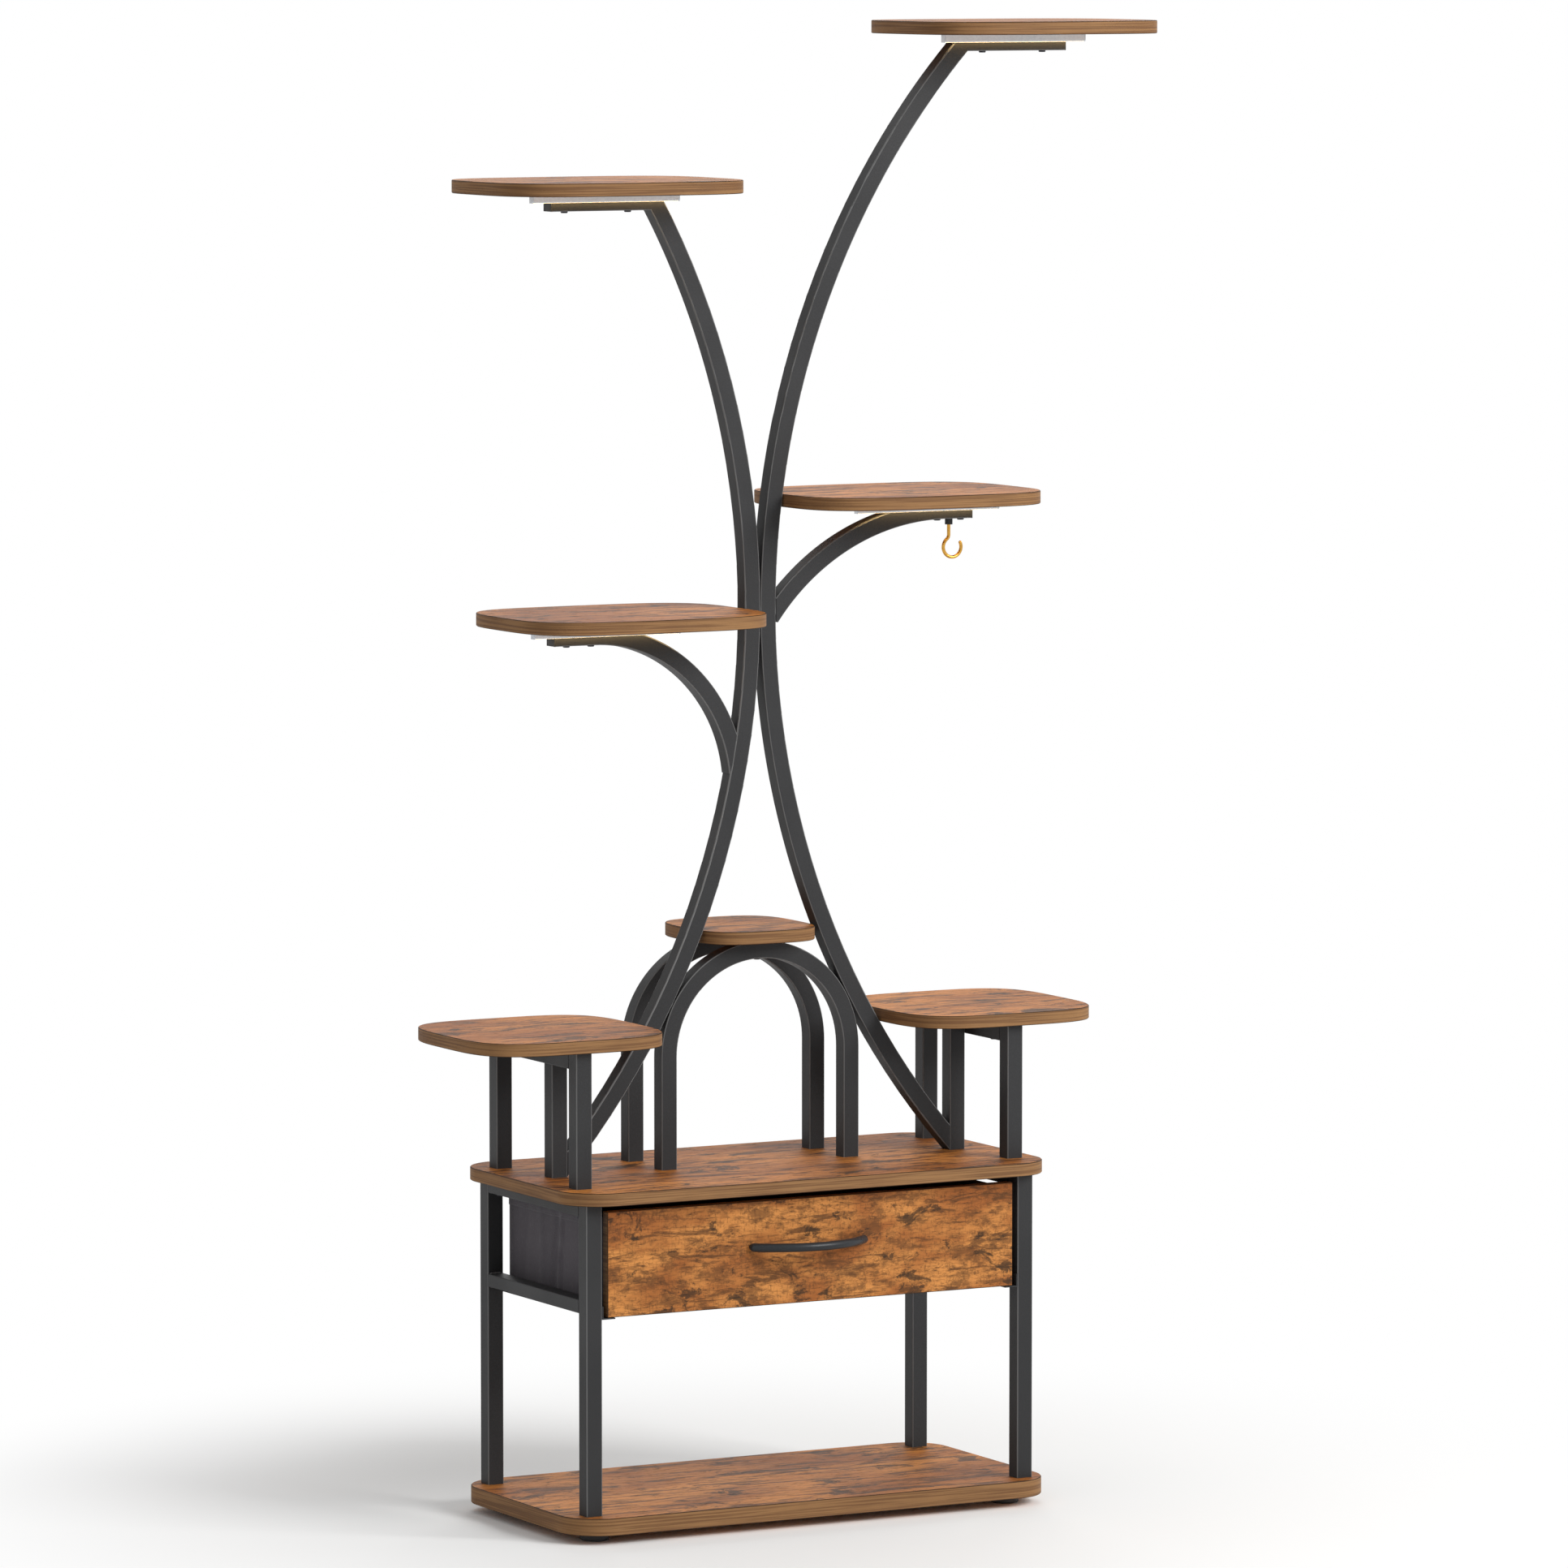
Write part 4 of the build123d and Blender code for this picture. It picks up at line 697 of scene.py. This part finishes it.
@dataclass
class DrawerBin:
    """Sewn cloth bin behind the drawer front: a sagging shell with a bound rim and stitches."""

    wall: float = 2.0 * MM
    corner: float = 3.2 * MM
    step: float = 5.0 * MM
    hem_height: float = 13.0 * MM
    hem_cloth: float = 0.7 * MM
    stitch_spacing: float = 4.6 * MM
    stitch_length: float = 3.1 * MM
    stitch_width: float = 0.55 * MM
    side_sag: float = 0.9 * MM
    back_sag: float = 2.4 * MM
    corner_steps: int = 6
    floor_rows: int = 14
    wall_rows: int = 26

    def __post_init__(self) -> None:
        """Takes the bin's outside from the CAD box."""
        low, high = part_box("drawer_box")
        self.low = low.z
        self.high = high.z
        self.ring = RoundedRing(
            (high.x - low.x) / 2,
            (high.y - low.y) / 2,
            self.corner,
            (high.x + low.x) / 2,
            (high.y + low.y) / 2,
        )

    def bulge(self, place: np.ndarray, normal: np.ndarray, height: np.ndarray) -> np.ndarray:
        """How far the cloth stands out from the plain box.

        Each panel sags inwards as the product of an arch over its length and an arch over its
        height. Creases are bell curves over the distance from a line that leans with height,
        and both fade out at the sewn corners and, on the front, against its board.

        Args:
            place: Plan positions of the points.
            normal: Outward normals in plan.
            height: Heights of the points.

        Returns:
            Distances outwards, in metres.
        """
        rise = np.clip((height - self.low) / (self.high - self.low), 0, 1)
        x = (place[..., 0] - self.ring.centre_x) / self.ring.half_x
        y = (place[..., 1] - self.ring.centre_y) / self.ring.half_y
        left = np.clip(-normal[..., 0], 0, 1) ** 4
        right = np.clip(normal[..., 0], 0, 1) ** 4
        back = np.clip(normal[..., 1], 0, 1) ** 4
        arch = np.sin(math.pi * rise)
        side_arch = (1 - y**2) * (left + right)
        back_arch = (1 - x**2) * back
        sag = -(self.side_sag * side_arch + self.back_sag * back_arch) * arch

        def crease(across: np.ndarray, at: float, width: float, lean: float) -> np.ndarray:
            """Bell curve across a line that leans and bows with height."""
            line = at + lean * (0.5 - rise) + 0.02 * np.sin(math.pi * rise * 1.6)
            return np.exp(-(((across - line) / width) ** 2))

        upper = 0.35 + 0.65 * np.sin(math.pi * (0.25 + 0.6 * rise))
        side = 3.4 * crease(y, -0.10, 0.020, 0.05) - 1.9 * crease(y, -0.02, 0.06, 0.05)
        side += 0.8 * crease(y, 0.28, 0.05, -0.10) - 0.6 * crease(y, 0.62, 0.05, 0.06)
        rear = 1.1 * crease(x, -0.55, 0.03, 0.05) - 1.0 * crease(x, -0.12, 0.04, -0.04)
        rear += 1.3 * crease(x, 0.31, 0.025, 0.06) + 0.8 * crease(x, 0.72, 0.03, -0.05)
        creases = (side * (left - 0.8 * right) * (1 - y**4) + rear * back * (1 - x**4)) * upper
        return sag + creases * MM

    def skin(
        self, length: np.ndarray, out: np.ndarray, height: np.ndarray, share: np.ndarray
    ) -> np.ndarray:
        """Points of the cloth.

        A point is the ring's point, moved along its normal by the given distance and the
        cloth's bulge, and drawn in towards the middle by a share, for the bin's floor.

        Args:
            length: Distances round the ring.
            out: Distances out from the bin's outer face, in the same shape.
            height: Heights.
            share: 1 on the walls, down to 0 in the middle of the floor.

        Returns:
            Points in the frame, in the last axis.
        """
        place, normal = self.ring.at(length)
        reach = out + self.bulge(place, normal, height) * (share > 0.999)
        place = place + normal * reach[..., None]
        centre = np.array([self.ring.centre_x, self.ring.centre_y])
        place = centre + (place - centre) * share[..., None]
        return np.concatenate([place, height[..., None]], axis=-1)

    def shell(self, material: bpy.types.Material) -> bpy.types.Object:
        """The bin itself: floor, walls, rim and inside as one closed surface.

        Its profile runs from under the middle of the floor, round the lower edge, up the wall,
        over the rim, down the inside and back to the middle, and is carried round the ring.
        """
        tall = self.high - self.low
        wall = self.wall
        inset = np.linspace(0.03, 0.97, self.floor_rows)
        levels = np.linspace(1.4 * MM, tall - 0.6 * MM, self.wall_rows)
        out = [
            np.full(self.floor_rows, -1.6 * MM),
            [-1.4 * MM, -0.5 * MM, -0.1 * MM],
            np.zeros(self.wall_rows),
            [-0.3 * MM, -1.0 * MM, -1.7 * MM],
            np.full(self.wall_rows, -wall),
            np.full(self.floor_rows, -wall),
        ]
        height = [
            np.zeros(self.floor_rows),
            [0.0, 0.3 * MM, 0.9 * MM],
            levels,
            [tall - 0.2 * MM, tall, tall - 0.2 * MM],
            np.maximum(levels[::-1], wall),
            np.full(self.floor_rows, wall),
        ]
        rise = np.ones(self.wall_rows)
        share = [inset, np.ones(3), rise, np.ones(3), rise, inset[::-1]]
        out, height, share = (np.concatenate(part) for part in (out, height, share))
        length = self.ring.stations(self.step, self.corner_steps)
        rows, columns = len(out), len(length)
        grid = np.broadcast_to(length, (rows, columns))
        spread = [np.broadcast_to(v[:, None], (rows, columns)) for v in (out, height, share)]
        points = self.skin(grid, spread[0], self.low + spread[1], spread[2]).reshape(-1, 3)
        middle = (self.ring.centre_x, self.ring.centre_y)
        poles = np.array([(*middle, self.low), (*middle, self.low + wall)])
        faces = tiles(rows, columns).tolist()
        faces += caps(rows, columns, rows * columns, rows * columns + 1)
        points = np.concatenate([points, poles])
        piece = new_piece(
            "drawer_bin_cloth", points, faces, material, Body.DRAWER
        )
        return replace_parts(piece, "drawer_box")

    def binding(self, material: bpy.types.Material) -> bpy.types.Object:
        """Cloth strip folded over the rim, as a closed profile carried round the ring."""
        thick = self.hem_cloth
        wall = self.wall
        drop = self.hem_height
        out = [0.0, thick, thick, thick * 0.6, -wall / 2, -wall - thick * 0.6]
        out += [-wall - thick, -wall - thick, -wall, -wall + 0.1 * MM, -0.1 * MM]
        height = [-drop, -drop + 0.2 * MM, -0.6 * MM, 0.3 * MM, 0.6 * MM, 0.3 * MM]
        height += [-0.6 * MM, -drop + 0.2 * MM, -drop, -0.8 * MM, -0.8 * MM]
        length = self.ring.stations(self.step, self.corner_steps)
        rows, columns = len(out), len(length)
        grid = np.broadcast_to(length, (rows, columns))
        out_grid = np.broadcast_to(np.array(out)[:, None], (rows, columns))
        high_grid = self.high + np.broadcast_to(np.array(height)[:, None], (rows, columns))
        points = self.skin(grid, out_grid, high_grid, np.ones((rows, columns)))
        faces = tiles(rows, columns)
        here = np.arange(columns)
        beside = (here + 1) % columns
        top = (rows - 1) * columns
        seam = np.stack([here + top, beside + top, beside, here], axis=-1)
        faces = np.concatenate([faces, seam]).tolist()
        return new_piece(
            "drawer_bin_binding", points, faces, material, Body.DRAWER
        )

    def stitches(self, material: bpy.types.Material) -> bpy.types.Object:
        """Rows of stitches along the binding, outside and inside, and up the corner seams.

        One stitch is a short lens: rings whose radius is the sine of the way along it. Each is
        placed at its own point with its own direction, all at once.
        """
        total = self.ring.breaks[-1]
        count = round(total / self.stitch_spacing)
        along = (np.arange(count) + 0.5) * total / count
        row_height = self.high - self.hem_height + 2.2 * MM
        lengths = [along, along]
        outs = [np.full(count, self.hem_cloth), np.full(count, -self.wall - self.hem_cloth)]
        heights = [np.full(count, row_height)] * 2
        uprights = [np.zeros(2 * count)]
        rise = np.arange(self.low + 6 * MM, self.high - self.hem_height, self.stitch_spacing)
        breaks = self.ring.breaks
        for seam in (breaks[1] - 8 * MM, breaks[2] + 8 * MM, breaks[3] - 8 * MM, breaks[4] + 8 * MM):
            lengths.append(np.full(len(rise), seam))
            outs.append(np.zeros(len(rise)))
            heights.append(rise)
            uprights.append(np.ones(len(rise)))
        length, out, height, upright = (
            np.concatenate(part) for part in (lengths, outs, heights, uprights)
        )
        middle = self.skin(length, out, height, np.ones(len(length)))
        _, normal = self.ring.at(length)
        zeros = np.zeros(len(length))
        outward = np.stack([normal[:, 0], normal[:, 1], zeros], axis=-1)
        tangent = np.stack([-normal[:, 1], normal[:, 0], zeros + 0.08], axis=-1)
        vertical = np.array([0.0, 0.0, 1.0])
        direction = np.where(upright[:, None] > 0.5, vertical, tangent)
        across = np.cross(outward, direction)
        share = np.array([0.12, 0.5, 0.88])
        turn = np.arange(6) * math.tau / 6
        swell = np.sin(math.pi * share)[:, None] * self.stitch_width / 2
        shape = np.stack(
            [
                np.broadcast_to(((share - 0.5) * self.stitch_length)[:, None], (3, 6)),
                swell * np.cos(turn),
                swell * np.sin(turn),
            ],
            axis=-1,
        ).reshape(-1, 3)
        ends = np.array([[-0.5, 0, 0], [0.5, 0, 0]]) * self.stitch_length
        shape = np.concatenate([shape, ends])
        axes = np.stack([direction, outward, across], axis=1)
        points = middle[:, None, :] + np.einsum("pk,nkc->npc", shape, axes)
        plain = tiles(3, 6)
        ends = np.array(caps(3, 6, 18, 19))
        offset = np.arange(len(length)) * 20
        walls = (plain[None] + offset[:, None, None]).reshape(-1, 4).tolist()
        tips = (ends[None] + offset[:, None, None]).reshape(-1, 3).tolist()
        return new_piece(
            "drawer_bin_stitches", points, walls + tips, material, Body.DRAWER
        )

    def build(self, finishes: Finishes) -> None:
        """Makes the bin, its binding and its stitches."""
        cloth = finishes.by_slot[Slot.DRAWER_FABRIC]
        self.shell(cloth)
        self.binding(cloth)
        self.stitches(finishes.thread)


@dataclass
class FrameWelds:
    """Painted weld fillets in the inside corners where level bars meet upright tubes."""

    radius: float = 1.5 * MM
    length: float = 16.0 * MM
    ripple: float = 0.16
    ripple_length: float = 2.4 * MM
    tube: float = 20.0 * MM

    def corners(self) -> np.ndarray:
        """Middle of every fillet, one row each.

        Side frames have two rails and table frames one bar, each met by an upright at both ends.
        Bars start where the uprights' inner faces are.
        """
        places = []
        for side in ("left", "right"):
            low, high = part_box(f"side_frame_{side}")
            middle = (low.x + high.x) / 2
            ends = (low.y + self.tube, high.y - self.tube)
            rail_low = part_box(f"drawer_runner_{side}")[0].z + 6.8 * MM
            levels = (rail_low, rail_low + 15 * MM, high.z - 15 * MM)
            places += [(middle, y, z) for y in ends for z in levels]
            low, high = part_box(f"table_frame_{side}")
            ends = (low.y + self.tube, high.y - self.tube)
            places += [(middle, y, high.z - self.tube) for y in ends]
        return np.array(places)

    def build(self, finishes: Finishes) -> None:
        """Makes all fillets as one piece.

        A fillet is a row of rings along X whose radius swells and shrinks with each ripple and
        fades to a point at both ends.
        """
        share = np.linspace(0.02, 0.98, 40)
        turn = np.arange(8) * math.tau / 8
        fade = np.clip(np.sin(math.pi * share) * 3, 0, 1)
        wave = 1 + self.ripple * np.sin(math.tau * share * self.length / self.ripple_length)
        radius = (self.radius * fade * wave)[:, None]
        along = np.broadcast_to(((share - 0.5) * self.length)[:, None], (40, 8))
        shape = np.stack([along, radius * np.cos(turn), radius * np.sin(turn)], axis=-1)
        ends = np.array([[-0.5, 0, 0], [0.5, 0, 0]]) * self.length
        shape = np.concatenate([shape.reshape(-1, 3), ends])
        places = self.corners()
        points = places[:, None, :] + shape[None]
        offset = np.arange(len(places)) * len(shape)
        walls = (tiles(40, 8)[None] + offset[:, None, None]).reshape(-1, 4).tolist()
        tips = np.array(caps(40, 8, 320, 321))
        tips = (tips[None] + offset[:, None, None]).reshape(-1, 3).tolist()
        coat = finishes.by_slot[Slot.POWDER_COAT]
        new_piece("frame_weld_fillets", points, walls + tips, coat, Body.STAND)


@dataclass
class Studio:
    """Pale floor, white surroundings, soft lights and the camera."""

    camera_place: tuple[float, float, float] = (-5.1572, -9.5372, 1.8595)
    camera_forward: tuple[float, float, float] = (0.47256, 0.87627, -0.09402)
    lens: float = 218.01
    sensor: float = 36.0
    floor_size: float = 60.0
    floor_colour: str = "#F8F8F7"
    floor_cloud: str = "#F7F7F6"
    fade_from: float = 0.42
    fade_to: float = 1.15
    sky_strength: float = 0.52
    lamp_size: float = 3.0
    key_place: tuple[float, float, float] = (2.9, -4.6, 3.6)
    key_watts: float = 330.0
    back_place: tuple[float, float, float] = (2.4, 4.2, 3.8)
    back_watts: float = 50.0

    def seen_directly(self, tree: bpy.types.NodeTree) -> bpy.types.NodeSocket:
        """1 for rays that show the surroundings themselves: camera, glossy or see-through ones."""
        path = tree.nodes.new("ShaderNodeLightPath")
        total = path.outputs["Is Camera Ray"]
        for name in ("Is Glossy Ray", "Is Transmission Ray"):
            node = tree.nodes.new("ShaderNodeMath")
            node.operation = "MAXIMUM"
            tree.links.new(total, node.inputs[0])
            tree.links.new(path.outputs[name], node.inputs[1])
            total = node.outputs[0]
        return total

    def world(self) -> None:
        """White surroundings that light the stand softly."""
        world = bpy.data.worlds.new("white_studio")
        world.use_nodes = True
        tree = world.node_tree
        back = next(node for node in tree.nodes if node.type == "BACKGROUND")
        back.inputs["Color"].default_value = (1.0, 1.0, 1.0, 1.0)
        shown = self.seen_directly(tree)
        strength = tree.nodes.new("ShaderNodeMapRange")
        strength.inputs["To Min"].default_value = self.sky_strength
        strength.inputs["To Max"].default_value = 1.0
        tree.links.new(shown, strength.inputs["Value"])
        tree.links.new(strength.outputs[0], back.inputs["Strength"])
        bpy.context.scene.world = world

    def floor(self) -> None:
        """Pale floor that keeps the shadow near the stand and runs out to white."""
        half = self.floor_size / 2
        ticks = np.linspace(-half, half, 25)
        x, y = np.meshgrid(ticks, ticks)
        points = np.stack([x, y, np.zeros_like(x)], axis=-1)
        mesh = bpy.data.meshes.new("studio_floor")
        mesh.from_pydata(points.reshape(-1, 3).tolist(), [], tiles(25, 25, wrap=False).tolist())
        floor = bpy.data.objects.new("studio_floor", mesh)
        bpy.context.scene.collection.objects.link(floor)
        paint = Paint("matte_white_studio_floor", Roughness=0.9, Specular_IOR_Level=0.1)
        tree = paint.tree
        cloud = paint.speckle((900.0, 900.0, 900.0), 0.3, 0.7, Detail=2.0)
        colour = paint.blend(cloud, 0.25, linear(self.floor_colour), linear(self.floor_cloud))
        paint.feed(Base_Color=colour)
        where = paint.add("ShaderNodeTexCoord", output="Object")
        far = paint.add("ShaderNodeVectorMath", {0: where}, output="Value", operation="LENGTH")
        limits = {"Value": far, "From Min": self.fade_from, "From Max": self.fade_to}
        fade = paint.add("ShaderNodeMapRange", limits, interpolation_type="SMOOTHSTEP")
        shown = self.seen_directly(tree)
        fade = paint.add("ShaderNodeMath", {0: fade, 1: shown}, operation="MULTIPLY")
        glow = paint.add("ShaderNodeEmission", {"Color": (1.0, 1.0, 1.0, 1.0), "Strength": 1.0})
        surface = paint.add("ShaderNodeMixShader", {0: fade, 1: paint.shader.outputs[0], 2: glow})
        output = next(node for node in tree.nodes if node.type == "OUTPUT_MATERIAL")
        tree.links.new(surface, output.inputs["Surface"])
        mesh.materials.append(paint.material)

    def lamp(self, name: str, place: tuple[float, float, float], watts: float) -> None:
        """Square soft light aimed at the middle of the stand."""
        data = bpy.data.lights.new(name, "AREA")
        data.size = self.lamp_size
        data.energy = watts
        lamp = bpy.data.objects.new(name, data)
        lamp.location = place
        aim = Vector((0.0, 0.0, 0.8)) - Vector(place)
        lamp.rotation_mode = "QUATERNION"
        lamp.rotation_quaternion = aim.to_track_quat("-Z", "Y")
        bpy.context.scene.collection.objects.link(lamp)

    def camera(self) -> None:
        """Long lens from the left front, looking slightly down."""
        data = bpy.data.cameras.new("camera")
        data.lens = self.lens
        data.sensor_width = self.sensor
        data.clip_start = 0.1
        data.clip_end = 200.0
        camera = bpy.data.objects.new("camera", data)
        camera.location = self.camera_place
        camera.rotation_mode = "QUATERNION"
        camera.rotation_quaternion = Vector(self.camera_forward).to_track_quat("-Z", "Y")
        bpy.context.scene.collection.objects.link(camera)
        bpy.context.scene.camera = camera

    def build(self) -> None:
        """Sets up the whole studio."""
        bpy.context.scene.view_settings.view_transform = "Standard"
        self.world()
        self.floor()
        self.lamp("key_light", self.key_place, self.key_watts)
        self.lamp("back_light", self.back_place, self.back_watts)
        self.camera()


def main() -> None:
    """Builds the looks round the frame, one sub-assembly after another."""
    logging.basicConfig(level=logging.INFO, format="%(name)s: %(message)s")
    finishes = Finishes()
    for row in frame["record"]["subparts"]:
        finishes.dress(row["node"], Slot(row["material_slot"]))
    log.info("%d CAD nodes dressed", len(frame["nodes"]))
    DrawerBin().build(finishes)
    FrameWelds().build(finishes)
    Studio().build()
    bpy.context.view_layer.update()


if __name__ == "__main__":
    main()
